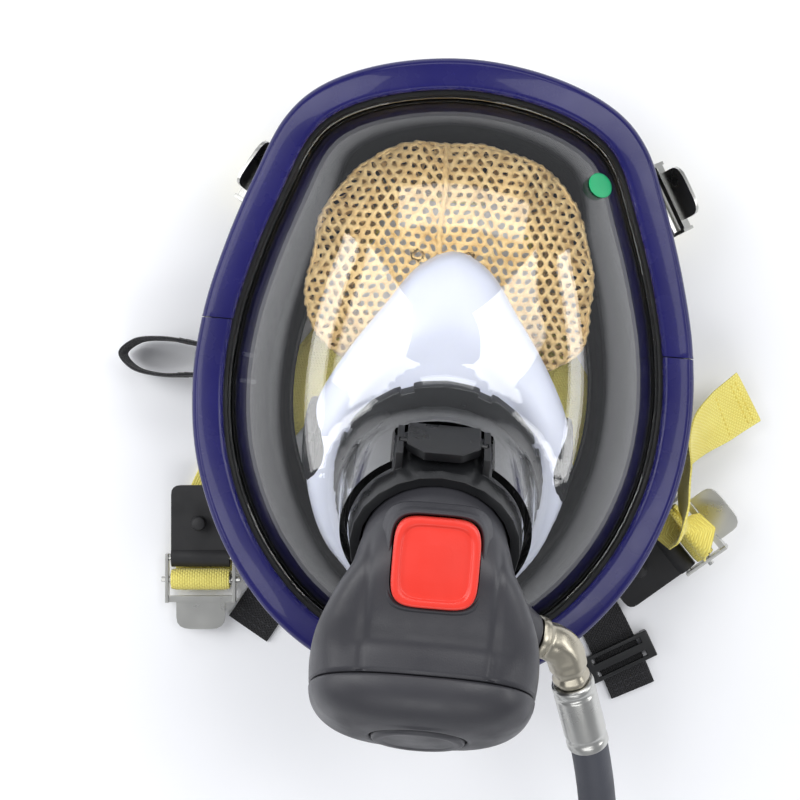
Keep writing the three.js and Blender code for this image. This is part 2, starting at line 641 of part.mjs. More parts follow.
// A rubber tab with a ball stud and a roll for the buckle's pin. The root reaches the skirt:
// sideways on the cheeks, straight back where the tab stands up.
function tabGeometry(axes, upright) {
  const half = STRAP_W / 2;
  const inner = upright ? -6 : -16;
  const face = new THREE.Shape();
  face.moveTo(ROLL_X, -half);
  face.lineTo(ROLL_X, half);
  face.lineTo(inner + 4, half);
  face.quadraticCurveTo(inner, half, inner, half - 4);
  face.lineTo(inner, -half + 4);
  face.quadraticCurveTo(inner, -half, inner + 4, -half);
  const plate = new THREE.ExtrudeGeometry(face, {
    depth: TAB_T, bevelEnabled: false, curveSegments: 4,
  }).translate(0, 0, PIN_Z);
  const root = upright
    ? block(10, 18, 20, -1, 0, PIN_Z + 11)
    : joined(block(13, 46, TAB_T, -9.5, 23, PIN_Z + TAB_T / 2), studGeometry());
  const roll = rod(ROLL_R, half, ROLL_X, PIN_Z, 14);
  const whole = joined(plate, roll).add(upright ? solid(root) : root);
  const made = cutBy(whole, rod(1.9, half + 1, ROLL_X, PIN_Z));
  return shape(solid(shape(made).applyMatrix4(axes)).subtract(solid(skirtBlock())));
}

// Stamped buckle: hinge rod in the roll, side arms, cross bar and lever plate.
const ARM_Y = 14.4;
function buckleGeometry(withRoller) {
  const arm = (hand) =>
    block(BAR_X - ROLL_X + 3, 1.4, 5, (BAR_X + ROLL_X) / 2, hand * ARM_Y, PIN_Z);
  const tongue = new THREE.Shape();
  tongue.moveTo(BAR_X, -10.5);
  tongue.lineTo(LEVER_X - 5, -10.5);
  tongue.quadraticCurveTo(LEVER_X, -10.5, LEVER_X, -4);
  tongue.lineTo(LEVER_X, 4);
  tongue.quadraticCurveTo(LEVER_X, 10.5, LEVER_X - 5, 10.5);
  tongue.lineTo(BAR_X, 10.5);
  const plate = new THREE.ExtrudeGeometry(tongue, {
    depth: 1.4, bevelEnabled: false, curveSegments: 4,
  }).translate(0, 0, PIN_Z - 0.7);
  const frame = joined(
    rod(1.5, ARM_Y, ROLL_X, PIN_Z), arm(-1), arm(1), plate,
    block(2.6, 2 * ARM_Y + 1.4, 3.4, BAR_X, 0, PIN_Z),
  );
  if (withRoller) return shape(frame.add(solid(rod(4.4, ARM_Y, ROLLER_X, PIN_Z, 14))));
  return shape(cutBy(frame, rod(1.6, 20, ROLLER_X, PIN_Z)));
}
const rollerGeometry = () =>
  shape(joined(rod(1.2, 17, ROLLER_X, PIN_Z), rod(2.6, 13, ROLLER_X, PIN_Z)));
const wrapGeometry = () =>
  ring(3, 3 + STRAP_T, -STRAP_W / 2, STRAP_W / 2, 14)
    .rotateX(Math.PI / 2).translate(ROLLER_X, 0, PIN_Z);

// Where each set is: the point under its stud, its heading and how far it stands up.
const SETS = {
  right_cheek: { at: [-97.7, -71.2, 0], heading: -85, pitch: 0 },
  left_cheek: { at: [94.4, -71, 4], heading: 44, pitch: 20 },
  right_temple: { at: [-79, 76, 12], heading: 150, pitch: 72 },
  left_temple: { at: [79, 76.5, 12], heading: 30, pitch: 62 },
  top: { at: [0, 122, 12], heading: 90, pitch: 75 },
};
const axesOf = ({ at, heading, pitch }) =>
  new THREE.Matrix4()
    .makeRotationZ(radians(heading))
    .multiply(new THREE.Matrix4().makeRotationY(-radians(pitch)))
    .setPosition(...at);

// The loose end of the left cheek's strap, standing up from the roller and laid over.
const LEFT_TAIL = [
  [vec(108.6, -57.3, 23.2), vec(-0.7, 0.72, 0)], [vec(107.5, -58.2, 29), vec(-0.7, 0.72, 0)],
  [vec(105, -55, 39), vec(-0.4, 0.5, 0.75)], [vec(103.5, -44, 39.6), vec(0, 0, 1)],
  [vec(103.5, -34, 36), vec(0, 0, 1)], [vec(105, -24, 30), vec(-0.2, 0.2, 0.9)],
  [vec(111, -14, 24), vec(-0.5, 0.4, 0.75)], [vec(120, -6, 19), vec(-0.62, 0.6, 0.5)],
  [vec(131, 3, 16), vec(-0.65, 0.65, 0.35)],
];
for (const [name, set] of Object.entries(SETS)) {
  const axes = axesOf(set);
  const cheek = name.endsWith("cheek");
  place(`${name}_tab`, tabGeometry(axes, !cheek), blackRubber);
  place(`${name}_buckle`, buckleGeometry(!cheek).applyMatrix4(axes), steel);
  if (!cheek) continue;
  place(`${name}_roller`, rollerGeometry().applyMatrix4(axes), steel);
  const wrap = wrapGeometry().applyMatrix4(axes);
  const loose = () => ribbon(LEFT_TAIL, STRAP_W, STRAP_T);
  place(`${name}_strap_end`, name === "left_cheek" ? shape(joined(wrap, loose())) : wrap, yellowWeb);
}

// ---------------------------------------------------------------- head net and its straps
const NET_HALF = [[0, 97], [30, 92], [50, 74], [58, 46], [56, 18], [34, 3], [0, -2]];
const NET_Y = 44;
const netCurve = closedCurve(mirrored(NET_HALF).map(([x, y]) => vec(x, y, 0)));
const netRing = ([scale, z]) =>
  Array.from({ length: 24 }, (_, i) => {
    const p = netCurve.getPoint(i / 24);
    return vec(p.x * scale, NET_Y + (p.y - NET_Y) * scale, z);
  });
place("head_net", loft([
  [0.3, 30], [0.7, 28], [0.7, 14], [0.62, 3.6], [0.66, 3.2], [0.75, 14], [0.76, 22.2],
  [0.97, 23], [0.98, 25], [0.84, 31], [0.3, 33],
].map(netRing)), tanNet);

const onTable = (thickness) => ([x, y, heading]) =>
  [vec(x, y, thickness / 2), vec(-Math.sin(radians(heading)), Math.cos(radians(heading)), 0)];
const flatStrap = (stops) => ribbon(stops.map(onTable(STRAP_T)), STRAP_W, STRAP_T);

place("right_cheek_strap", flatStrap([
  [-40, 20, 225], [-58, -6, 228], [-76, -30, 236], [-90, -54, 248], [-95.5, -76, 268],
  [-95, -92, 275],
]), yellowWeb);
place("left_cheek_strap", flatStrap([
  [40, 20, 315], [56, -4, 312], [70, -24, 314], [84, -42, 322], [98, -52, 328],
]), yellowWeb);

// A strap that lies on the table and turns up behind its standing buckle.
function risingStrap({ at, heading, pitch }, inner) {
  const out = vec(Math.cos(radians(heading)), Math.sin(radians(heading)), 0);
  const across = vec(-out.y, out.x, 0);
  const foot = vec(at[0], at[1], 0);
  const lean = vec(0, 0, Math.sin(radians(pitch))).addScaledVector(out, Math.cos(radians(pitch)));
  const spot = (distance, height) => foot.clone().addScaledVector(out, distance).setZ(height);
  const behind = (distance) => spot(1.2, at[2]).addScaledVector(lean, distance);
  return ribbon([
    [spot(inner, STRAP_T / 2), across], [spot(-14, STRAP_T / 2), across],
    [spot(-5, 2.2), across], [behind(-4), across], [behind(17), across],
  ], STRAP_W, STRAP_T);
}
place("right_temple_strap", risingStrap(SETS.right_temple, -48), yellowWeb);
place("left_temple_strap", risingStrap(SETS.left_temple, -48), yellowWeb);
place("top_strap", risingStrap(SETS.top, -46), yellowWeb);

// ---------------------------------------------------------------- neck strap
const LOOP = [
  [-82, 2, 22], [-104, 5, 18], [-120, 6, 15], [-131, 4, 13], [-136.5, -1.6, 12.5],
  [-131, -7.4, 12.5], [-119, -9.4, 13], [-102, -8, 16], [-82, -9, 22],
];
place("neck_strap_loop", shape(cutBy(
  solid(ribbon(LOOP.map(([x, y, z]) => [vec(x, y, z), vec(0, 0, 1)]), WEB_W, WEB_T)),
  skirtBlock())), blackWeb);
place("neck_strap", ribbon([
  [-74, -116, 62], [-60, -92, 58], [-44, -74, 42], [-16, -58, 16], [16, -56, 350],
  [44, -64, 330], [62, -78, 315], [76.5, -96, 304], [89.4, -117.4, 300], [95, -128, 298],
].map(onTable(WEB_T)), WEB_W, WEB_T), blackWeb);

function slider() {
  const plate = new THREE.Shape([[-15.5, -6], [15.5, -6], [15.5, 6], [-15.5, 6]].map(([x, y]) =>
    new THREE.Vector2(x, y)));
  for (const y of [-3, 3]) {
    const slot = [[-11.5, y - 1.3], [11.5, y - 1.3], [11.5, y + 1.3], [-11.5, y + 1.3]];
    plate.holes.push(new THREE.Path(slot.map(([sx, sy]) => new THREE.Vector2(sx, sy))));
  }
  const bars = new THREE.ExtrudeGeometry(plate, { depth: 2.4, bevelEnabled: false })
    .translate(0, 0, 2.3);
  const leg = (hand) => block(3, 12, 4.7, hand * 14, 0, 2.35);
  return shape(joined(bars, leg(-1), leg(1)));
}
place("neck_strap_slider",
  slider().rotateZ(radians(30)).translate(87.5, -114, 0), blackPlastic);

// ---------------------------------------------------------------- origin
const CORD = ["hose", "hose_coil", "hose_tail", "hose_connector", "connector_sleeve"];
const bounds = new THREE.Box3();
for (const mesh of group.children) if (!CORD.includes(mesh.name)) bounds.expandByObject(mesh, true);
const middle = bounds.getCenter(vec(0, 0, 0));
for (const mesh of group.children) mesh.geometry.translate(-middle.x, -middle.y, -bounds.min.z);

export default group;
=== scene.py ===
# The looks of a full-face breathing mask with its demand valve and air hose, around its packed
# frame. Shapes are worked out in millimetres in the mask's own layout, where the middle of the
# clamp frame is near x = 0, y = 0, and then moved by SHIFT.
from math import atan2, cos, hypot, pi, radians, sin, sqrt

import bmesh
import bpy
import numpy as np
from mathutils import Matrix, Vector


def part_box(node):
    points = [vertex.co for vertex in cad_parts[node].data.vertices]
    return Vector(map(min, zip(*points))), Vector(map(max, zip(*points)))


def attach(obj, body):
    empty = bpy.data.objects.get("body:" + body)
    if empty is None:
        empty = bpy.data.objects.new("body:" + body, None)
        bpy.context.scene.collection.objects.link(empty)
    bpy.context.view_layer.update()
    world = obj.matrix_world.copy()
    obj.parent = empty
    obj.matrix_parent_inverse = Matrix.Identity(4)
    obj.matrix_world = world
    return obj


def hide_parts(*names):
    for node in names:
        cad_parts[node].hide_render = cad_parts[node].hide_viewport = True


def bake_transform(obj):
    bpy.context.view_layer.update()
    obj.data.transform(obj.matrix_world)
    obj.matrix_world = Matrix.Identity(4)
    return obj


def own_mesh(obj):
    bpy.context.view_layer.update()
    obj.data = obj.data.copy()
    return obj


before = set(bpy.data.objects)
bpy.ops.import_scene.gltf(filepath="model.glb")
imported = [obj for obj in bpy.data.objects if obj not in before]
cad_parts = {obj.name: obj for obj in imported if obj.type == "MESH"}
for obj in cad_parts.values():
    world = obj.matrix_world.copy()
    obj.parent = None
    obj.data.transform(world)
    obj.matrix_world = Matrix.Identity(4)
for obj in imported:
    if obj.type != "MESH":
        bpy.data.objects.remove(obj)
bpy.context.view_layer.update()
scene = bpy.context.scene

MM = 0.001
TAU = 2 * pi
BUTTON = {"x": 0, "y": -65, "z": 158.5, "width": 29.5, "length": 30.5}
button_low, button_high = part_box("reset_button")
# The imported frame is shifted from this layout. The reset button tells by how much.
SHIFT = np.array([
    (button_low.x + button_high.x) / 2 / MM - BUTTON["x"],
    (button_low.y + button_high.y) / 2 / MM - BUTTON["y"],
    0,
])


def metres(points):
    return (np.asarray(points, float) + SHIFT) * MM


def at(*point):
    return Vector(metres(point))


# ---- camera, lights
CAMERA_SPOT = (-16.8, -11.3, 740)
CAMERA_TURN = radians(5)
camera_data = bpy.data.cameras.new("camera")
camera_data.lens = 76.5
camera_data.sensor_width = 36
camera = bpy.data.objects.new("camera", camera_data)
camera.location = at(*CAMERA_SPOT)
camera.rotation_euler = (0, 0, CAMERA_TURN)
scene.collection.objects.link(camera)
scene.camera = camera
scene.view_settings.view_transform = "Standard"


def softbox(name, place, target, width, height, power):
    data = bpy.data.lights.new(name, "AREA")
    data.shape = "RECTANGLE"
    data.size = width
    data.size_y = height
    data.energy = power
    light = bpy.data.objects.new(name, data)
    light.location = place
    light.rotation_euler = (Vector(target) - Vector(place)).to_track_quat("-Z", "Y").to_euler()
    scene.collection.objects.link(light)


# Name, place and target in metres, width, height, and power.
softbox("softbox_left", (-0.62, 0.18, 0.95), (-0.02, 0, 0.1), 0.52, 0.76, 4.7)
softbox("softbox_right", (0.5, 0.3, 1.0), (0.02, 0, 0.1), 0.46, 0.7, 4)
softbox("softbox_top", (0.05, 1.1, 1.0), (0, 0, 0.05), 1.1, 0.4, 4)
softbox("softbox_bottom", (0.1, -1.2, 1.1), (0, 0, 0.05), 1.2, 0.5, 4.2)
softbox("strip_left", (-1.15, 0, 0.55), (-0.05, 0, 0.08), 1.1, 0.26, 4.6)
softbox("strip_right", (1.15, 0.05, 0.5), (0.05, 0, 0.08), 1.0, 0.2, 3.2)
world = bpy.data.worlds.new("studio")
world.use_nodes = True
sky = world.node_tree.nodes["Background"]
sky.inputs["Color"].default_value = (0.93, 0.95, 1, 1)
sky.inputs["Strength"].default_value = 0.37
scene.world = world


# ---- materials
class Nodes:
    """A material's node tree, with short ways to add to it."""

    def __init__(self, name):
        self.material = bpy.data.materials.new(name)
        self.material.use_nodes = True
        self.tree = self.material.node_tree
        self.shader = self.tree.nodes["Principled BSDF"]
        self.output = self.tree.nodes["Material Output"]
        self.spots = self.add("ShaderNodeTexCoord")

    def add(self, kind, **settings):
        node = self.tree.nodes.new(kind)
        for key, value in settings.items():
            setattr(node, key, value)
        return node

    def fill(self, node, **values):
        for key, value in values.items():
            node.inputs[key.replace("_", " ")].default_value = value

    def link(self, source, target):
        self.tree.links.new(source, target)

    def drive(self, socket, source):
        self.link(source, self.shader.inputs[socket])

    def noise(self, scale, detail):
        node = self.add("ShaderNodeTexNoise")
        self.fill(node, Scale=scale, Detail=detail)
        self.link(self.spots.outputs["Object"], node.inputs["Vector"])
        return node.outputs["Fac"]

    def ranged(self, value, low, high, source=(0.3, 0.7)):
        node = self.add("ShaderNodeMapRange")
        self.fill(node, From_Min=source[0], From_Max=source[1], To_Min=low, To_Max=high)
        self.link(value, node.inputs["Value"])
        return node.outputs["Result"]

    def math(self, operation, a, b=0.0):
        node = self.add("ShaderNodeMath", operation=operation)
        for socket, value in zip(node.inputs, (a, b)):
            if isinstance(value, (int, float)):
                socket.default_value = value
            else:
                self.link(value, socket)
        return node.outputs[0]

    def mixed(self, factor, first, second):
        node = self.add("ShaderNodeMix", data_type="RGBA")
        self.link(factor, node.inputs["Factor"])
        node.inputs[6].default_value = (*first, 1)
        node.inputs[7].default_value = (*second, 1)
        return node.outputs[2]

    def bump(self, height, distance, strength=1.0):
        node = self.add("ShaderNodeBump")
        self.fill(node, Distance=distance, Strength=strength)
        self.link(height, node.inputs["Height"])
        self.drive("Normal", node.outputs["Normal"])

    def set(self, **values):
        self.fill(self.shader, **values)


def linear(colour):
    """A colour as it shows on a screen, 0 to 255, as the renderer's own values."""
    shown = np.array(colour, float) / 255
    return tuple(np.where(shown <= 0.04045, shown / 12.92, ((shown + 0.055) / 1.055) ** 2.4))


def surface(name, colour, rough, grain, depth, vary=0.12, metallic=0.0, **more):
    """Moulded or cast stuff: slow colour change, fine grain, and roughness that wanders."""
    n = Nodes(name)
    base = np.array(linear(colour))
    slow = n.noise(18, 3)
    n.drive("Base Color", n.mixed(n.ranged(slow, 0, 1), base * (1 - vary),
                                  np.minimum(base * (1 + vary), 1)))
    n.drive("Roughness", n.ranged(n.noise(90, 6), *rough))
    n.bump(n.noise(grain, 5), depth)
    n.set(Metallic=metallic, **more)
    return n.material


def glass_like(name, tint, rough, ior):
    """Clear plastic with faint scuffs. Lamps shine through it, so what is behind is lit."""
    n = Nodes(name)
    n.set(Base_Color=(*tint, 1), IOR=ior, Transmission_Weight=1.0)
    n.drive("Roughness", n.ranged(n.noise(35, 8), *rough))
    n.bump(n.noise(14, 2), 0.0001, 0.25)
    clear = n.add("ShaderNodeBsdfTransparent")
    clear.inputs["Color"].default_value = (*tint, 1)
    path = n.add("ShaderNodeLightPath")
    mix = n.add("ShaderNodeMixShader")
    n.link(path.outputs["Is Shadow Ray"], mix.inputs["Fac"])
    n.link(n.shader.outputs["BSDF"], mix.inputs[1])
    n.link(clear.outputs["BSDF"], mix.inputs[2])
    n.link(mix.outputs["Shader"], n.output.inputs["Surface"])
    return n.material


def webbing(name, colour, dark, rib, pick):
    """Woven tape. UVs are millimetres along and across it; ribs run along, picks across."""
    n = Nodes(name)
    parts = n.add("ShaderNodeSeparateXYZ")
    n.link(n.spots.outputs["UV"], parts.inputs["Vector"])
    along, across = parts.outputs["X"], parts.outputs["Y"]
    ribs = n.math("SINE", n.math("MULTIPLY", across, TAU / rib))
    turn = n.math("MULTIPLY", n.math("SIGN", ribs), pi / 2)
    picks = n.math("SINE", n.math("ADD", n.math("MULTIPLY", along, TAU / pick), turn))
    weave = n.math("ADD", n.math("MULTIPLY", n.math("ABSOLUTE", ribs), 0.6),
                   n.math("MULTIPLY", picks, 0.4))
    fuzz = n.noise(1400, 4)
    height = n.math("ADD", weave, n.math("MULTIPLY", fuzz, 0.5))
    n.bump(height, 0.00035, 0.9)
    base = n.math("ADD", n.ranged(weave, 0, 0.75, (-0.4, 1)), n.ranged(n.noise(60, 5), 0, 0.3))
    n.drive("Base Color", n.mixed(base, linear(dark), linear(colour)))
    n.drive("Roughness", n.ranged(fuzz, 0.7, 0.95))
    n.set(Sheen_Weight=0.25, Sheen_Roughness=0.4)
    return n.material


visor_clear = glass_like("visor_clear", (0.985, 0.992, 0.995), (0.0, 0.03), 1.5)
navy = surface("navy_gloss", (24, 22, 86), (0.2, 0.32), 900, 0.00002, Specular_IOR_Level=0.25,
               Coat_Weight=0.2, Coat_Roughness=0.03)
black_rubber = surface("black_rubber", (30, 30, 32), (0.5, 0.68), 1500, 0.00006)
seal_rubber = surface("seal_rubber", (11, 11, 12), (0.42, 0.56), 700, 0.00004,
                      Specular_IOR_Level=0.3)
black_plastic = surface("black_plastic", (26, 27, 29), (0.26, 0.4), 1100, 0.00003)
valve_rubber = surface("valve_rubber", (54, 54, 59), (0.34, 0.5), 1700, 0.00005)
red_plastic = surface("red_plastic", (226, 54, 40), (0.3, 0.42), 1200, 0.00003, vary=0.06)
green_film = surface("green_film", (22, 168, 107), (0.3, 0.45), 800, 0.00001, vary=0.05)
steel = surface("steel", (196, 196, 192), (0.26, 0.33), 600, 0.000008, vary=0.04,
                metallic=1.0)
nickel = surface("nickel", (186, 180, 164), (0.24, 0.42), 420, 0.00008, metallic=1.0)
brass = surface("brass", (190, 155, 82), (0.22, 0.36), 700, 0.00003, metallic=1.0)
hose_rubber = surface("hose_rubber", (66, 68, 76), (0.42, 0.6), 1300, 0.00007)
silicone = surface("silicone", (190, 193, 206), (0.28, 0.42), 500, 0.00003, vary=0.04,
                   Subsurface_Weight=0.4, Subsurface_Radius=(0.004, 0.004, 0.005))
yellow = webbing("yellow_webbing", (253, 242, 138), (228, 208, 92), 2.1, 1.5)
black_web = webbing("black_webbing", (40, 40, 43), (13, 13, 14), 1.8, 1.4)


def net_yarn():
    n = Nodes("net_yarn")
    fine = n.noise(1600, 3)
    n.drive("Base Color", n.mixed(n.ranged(n.noise(220, 5), 0, 1), linear((196, 158, 98)),
                                  linear((238, 208, 150))))
    n.drive("Roughness", n.ranged(fine, 0.75, 0.95))
    n.bump(fine, 0.0003, 0.8)
    n.set(Sheen_Weight=0.3)
    return n.material


tan_net = net_yarn()


# ---- mesh helpers
def unit(vector):
    return vector / np.linalg.norm(vector)


def unit_rows(rows):
    return rows / np.linalg.norm(rows, axis=1)[:, None]


def full_turn(count):
    return np.arange(count) / count * TAU


def circle(radius, angles, height):
    """Points about the axis, at one height or a height for each."""
    return np.column_stack([radius * np.cos(angles), radius * np.sin(angles), height + 0 * angles])


def arc(first, corner, last, t):
    """The point at share t of a round corner."""
    return (1 - t) ** 2 * first + 2 * t * (1 - t) * corner + t**2 * last


def distances(line):
    """How far along a line each of its points is."""
    return np.concatenate([[0], np.cumsum(np.linalg.norm(np.diff(line, axis=0), axis=1))])


def by_angle(outline, middle_y):
    """Looks up values given at an outline's points by the angle about (0, middle_y)."""
    angle = np.arctan2(outline[:, 1] - middle_y, outline[:, 0])
    order = np.argsort(angle)
    return lambda at_angle, values: np.interp(at_angle, angle[order], values[order], period=TAU)


def curve(points, count, closed=False):
    """Points on a smooth curve through the given ones, evenly spaced between each two."""
    p = np.asarray(points, float)
    n = len(p)
    if closed:
        at_index = lambda i: p[i % n]
        spans = n
    else:
        padded = np.vstack([2 * p[0] - p[1], p, 2 * p[-1] - p[-2]])
        at_index = lambda i: padded[i + 1]
        spans = n - 1
    steps = np.arange(count) / (count if closed else count - 1) * spans
    made = []
    for s in steps:
        i = min(int(s), spans - 1)
        t = s - i
        a, b, c, d = (at_index(i + k) for k in (-1, 0, 1, 2))
        u, v, w = (max(np.linalg.norm(q - r), 1e-6) ** 0.5 for q, r in ((b, a), (c, b), (d, c)))
        start = ((b - a) / u - (c - a) / (u + v) + (c - b) / v) * v
        end = ((c - b) / v - (d - b) / (v + w) + (d - c) / w) * v
        made.append((2 * t**3 - 3 * t**2 + 1) * b + (t**3 - 2 * t**2 + t) * start
                    + (3 * t**2 - 2 * t**3) * c + (t**3 - t**2) * end)
    return np.array(made)


def rounded(profile, radius, closed=True):
    """A profile with each corner turned into a small arc of four points."""
    p = np.asarray(profile, float)
    n = len(p)
    made = []
    for i in range(n):
        if not closed and i in (0, n - 1):
            made.append(p[i])
            continue
        before, here, after = p[i - 1], p[i], p[(i + 1) % n]
        back, ahead = before - here, after - here
        first = here + back * min(radius / max(np.linalg.norm(back), 1e-9), 0.45)
        last = here + ahead * min(radius / max(np.linalg.norm(ahead), 1e-9), 0.45)
        made += [arc(first, here, last, t) for t in np.linspace(0, 1, 4)]
    return np.array(made)


def piece(name, points, faces, finish, uvs=None, sharp=35):
    """A mesh object from points in millimetres, smooth but for edges over sharp degrees."""
    mesh = bpy.data.meshes.new(name)
    mesh.from_pydata(metres(points).tolist(), [], faces)
    if uvs is not None:
        layer = mesh.uv_layers.new(name="UVMap")
        spots = np.asarray(uvs, float)[[v for face in faces for v in face]]
        layer.data.foreach_set("uv", spots.ravel())
    mesh.materials.append(finish)
    mesh.validate()
    bm = bmesh.new()
    bm.from_mesh(mesh)
    bmesh.ops.recalc_face_normals(bm, faces=bm.faces)
    bm.to_mesh(mesh)
    bm.free()
    mesh.polygons.foreach_set("use_smooth", [True] * len(mesh.polygons))
    sharpen(mesh, sharp)
    obj = bpy.data.objects.new(name, mesh)
    scene.collection.objects.link(obj)
    return obj


def grid_faces(rows, columns, wrap_rows=False, caps=True):
    """Faces over rings of points, with one face over each end ring if the rows stay open."""
    faces = []
    for r in range(rows if wrap_rows else rows - 1):
        q = (r + 1) % rows
        for c in range(columns):
            d = (c + 1) % columns
            faces.append((r * columns + c, r * columns + d, q * columns + d, q * columns + c))
    if caps and not wrap_rows:
        faces.append(tuple(range(columns))[::-1])
        faces.append(tuple((rows - 1) * columns + c for c in range(columns)))
    return faces


def lofted(name, rings, finish, closed=False, caps=True, sharp=35, uvs=None):
    rings = np.asarray(rings, float)
    rows, columns = rings.shape[:2]
    faces = grid_faces(rows, columns, wrap_rows=closed, caps=caps)
    return piece(name, rings.reshape(-1, 3), faces, finish, uvs, sharp)


def axes_to(direction):
    """Three unit columns, the third along direction."""
    z = unit(np.asarray(direction, float))
    x = np.cross((0, 0, 1), z)
    x = unit(x) if np.linalg.norm(x) > 1e-6 else np.array([1.0, 0, 0])
    return np.column_stack([x, np.cross(z, x), z])


def turned(name, profile, centre, direction, finish, count=64, radius=0.4):
    """A lathe piece from [radius, height] pairs that close on themselves or on the axis."""
    on_axis = profile[0][0] == 0 and profile[-1][0] == 0
    line = rounded(profile, radius, closed=not on_axis)
    angles = full_turn(count)
    axes = axes_to(direction)
    rings = [np.asarray(centre) + circle(max(r, 0.01), angles, h) @ axes.T for r, h in line]
    return lofted(name, rings, finish, closed=not on_axis)


def swept(name, path, radii, finish, sides=32, flats=None):
    """A round body along a path, with a radius at each point. flats shapes its section."""
    p = np.asarray(path, float)
    tangents = unit_rows(np.gradient(p, axis=0))
    side = axes_to(tangents[0])[:, 0]
    angles = full_turn(sides)
    rings = []
    for centre, along, r in zip(p, tangents, radii):
        side = unit(side - along * (side @ along))
        other = np.cross(along, side)
        scale = r if flats is None else r * flats(angles)
        rings.append(centre + np.outer(np.cos(angles) * scale, side)
                     + np.outer(np.sin(angles) * scale, other))
    return lofted(name, rings, finish)


def sharpen(mesh, degrees):
    mesh.set_sharp_from_angle(angle=radians(degrees))


def modified(obj, name, kind, **settings):
    modifier = obj.modifiers.new(name, kind)
    for key, value in settings.items():
        setattr(modifier, key, value)


def bevelled(obj, width, segments=2):
    modified(obj, "edges", "BEVEL", width=width * MM, segments=segments, limit_method="ANGLE",
             angle_limit=radians(30), harden_normals=False)


def keep_node(name, finish, width=0.35):
    """Gives a CAD node softened edges and a finish of its own. Its shape stays."""
    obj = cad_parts[name]
    mesh = obj.data
    custom = mesh.attributes.get("custom_normal")
    if custom is not None:
        mesh.attributes.remove(custom)
    mesh.materials.clear()
    mesh.materials.append(finish)
    mesh.polygons.foreach_set("use_smooth", [True] * len(mesh.polygons))
    modified(obj, "weld", "WELD", merge_threshold=0.00002)
    bevelled(obj, width)
    modified(obj, "normals", "WEIGHTED_NORMAL", keep_sharp=True)


def apply_modifiers(obj):
    bpy.context.view_layer.objects.active = obj
    for modifier in list(obj.modifiers):
        bpy.ops.object.modifier_apply(modifier=modifier.name)


def cut(obj, cutter):
    """Takes the cutter's shape out of a piece."""
    modified(obj, "cut", "BOOLEAN", operation="DIFFERENCE", solver="EXACT", object=cutter)
    bpy.context.view_layer.update()
    apply_modifiers(obj)
    bpy.data.objects.remove(cutter)
    if not obj.data.vertices:
        raise RuntimeError("the cut left nothing of " + obj.name)


def drill(radius, centre, direction):
    """A round cutter that reaches 14 mm to each side of its centre."""
    return turned("cutter", [[0, -14], [radius, -14], [radius, 14], [0, 14]], centre, direction,
                  valve_rubber, radius=0.01)


def solidified(obj, thickness, offset=0, even=True):
    """Gives a skin a wall, inward with an offset of -1 and both ways with 0."""
    modified(obj, "wall", "SOLIDIFY", thickness=thickness * MM, offset=offset,
             use_even_offset=even, use_quality_normals=True)


def fitted(obj, body, slot, *nodes):
    """Hides the CAD nodes a piece stands for and hangs it on its body. The slot is not used."""
    if nodes:
        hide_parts(*nodes)
    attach(obj, body)


# ---- local axes
PORT_FACE = np.array([0, -60, 133.0])
PORT_TILT = radians(32)
PORT_AXES = np.array([
    [1, 0, 0],
    [0, cos(PORT_TILT), -sin(PORT_TILT)],
    [0, sin(PORT_TILT), cos(PORT_TILT)],
])


def in_port(points):
    return PORT_FACE + np.asarray(points, float) @ PORT_AXES.T


INLET = np.array([39, -93, 118.0])
INLET_AXIS = np.array([0.8904, -0.2501, -0.3802])
HOSE_AXIS = np.array([0.3219, -0.8276, -0.4598])
ELBOW_CORNER = INLET + 13.5 * INLET_AXIS
ELBOW_DROP = 16.5
FERRULE_LENGTH = 30

# ---- hose
HOSE_R = 7.25
COIL_MIDDLE = np.array([7, -280.0])
COIL_R = 75
COIL_TURN = radians(450)
DESCENT = (radians(105), radians(205))
TAIL = 76.2
RISE_TO_CONNECTOR = 0.3
HOSE_STEP = 6.5
# A point on the hose's fall.
STILL_FROM = (79.8, -200, 57.4)


def hose_path():
    """From the ferrule to the table, a turn and a quarter of coil, and a short tail."""
    leaves = ELBOW_CORNER + (ELBOW_DROP + FERRULE_LENGTH - 4) * HOSE_AXIS
    start = ELBOW_CORNER + (ELBOW_DROP + FERRULE_LENGTH + 8) * HOSE_AXIS
    top = 3 * HOSE_R
    fall = [
        leaves, start, [73.4, -160, 78.5], [77, -180, 68], STILL_FROM, [81.4, -220, 47],
        [82, -240, 37], [82, -256, 29.6], [82, -270, top + 2], [82, -280, top + 0.6],
    ]
    fall = curve(fall, 40)
    turns = []
    for angle in np.linspace(0, COIL_TURN, 60)[1:]:
        t = np.clip((angle - DESCENT[0]) / (DESCENT[1] - DESCENT[0]), 0, 1)
        z = top - 2 * HOSE_R * (3 * t**2 - 2 * t**3)
        turns.append([COIL_MIDDLE[0] + COIL_R * cos(angle),
                      COIL_MIDDLE[1] - COIL_R * sin(angle), max(z, HOSE_R)])
    end = np.array(turns[-1])
    tail = [end + np.array([-x, 0, RISE_TO_CONNECTOR * x / TAIL])
            for x in np.linspace(6, TAIL, 8)]
    line = np.vstack([fall, turns, tail])
    gone = distances(line)
    even = np.linspace(0, gone[-1], int(gone[-1] / HOSE_STEP) + 1)
    line = np.column_stack([np.interp(even, gone, line[:, k]) for k in range(3)])
    for _ in range(6):
        line[2:-2] = 0.25 * line[1:-3] + 0.5 * line[2:-2] + 0.25 * line[3:-1]
    return line


hose_line = hose_path()
hose = swept("air_hose", hose_line, [HOSE_R] * len(hose_line), hose_rubber, sides=28)
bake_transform(hose)
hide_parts("hose", "hose_coil", "hose_tail")

keep_node("hose_connector", nickel)
keep_node("connector_sleeve", brass)

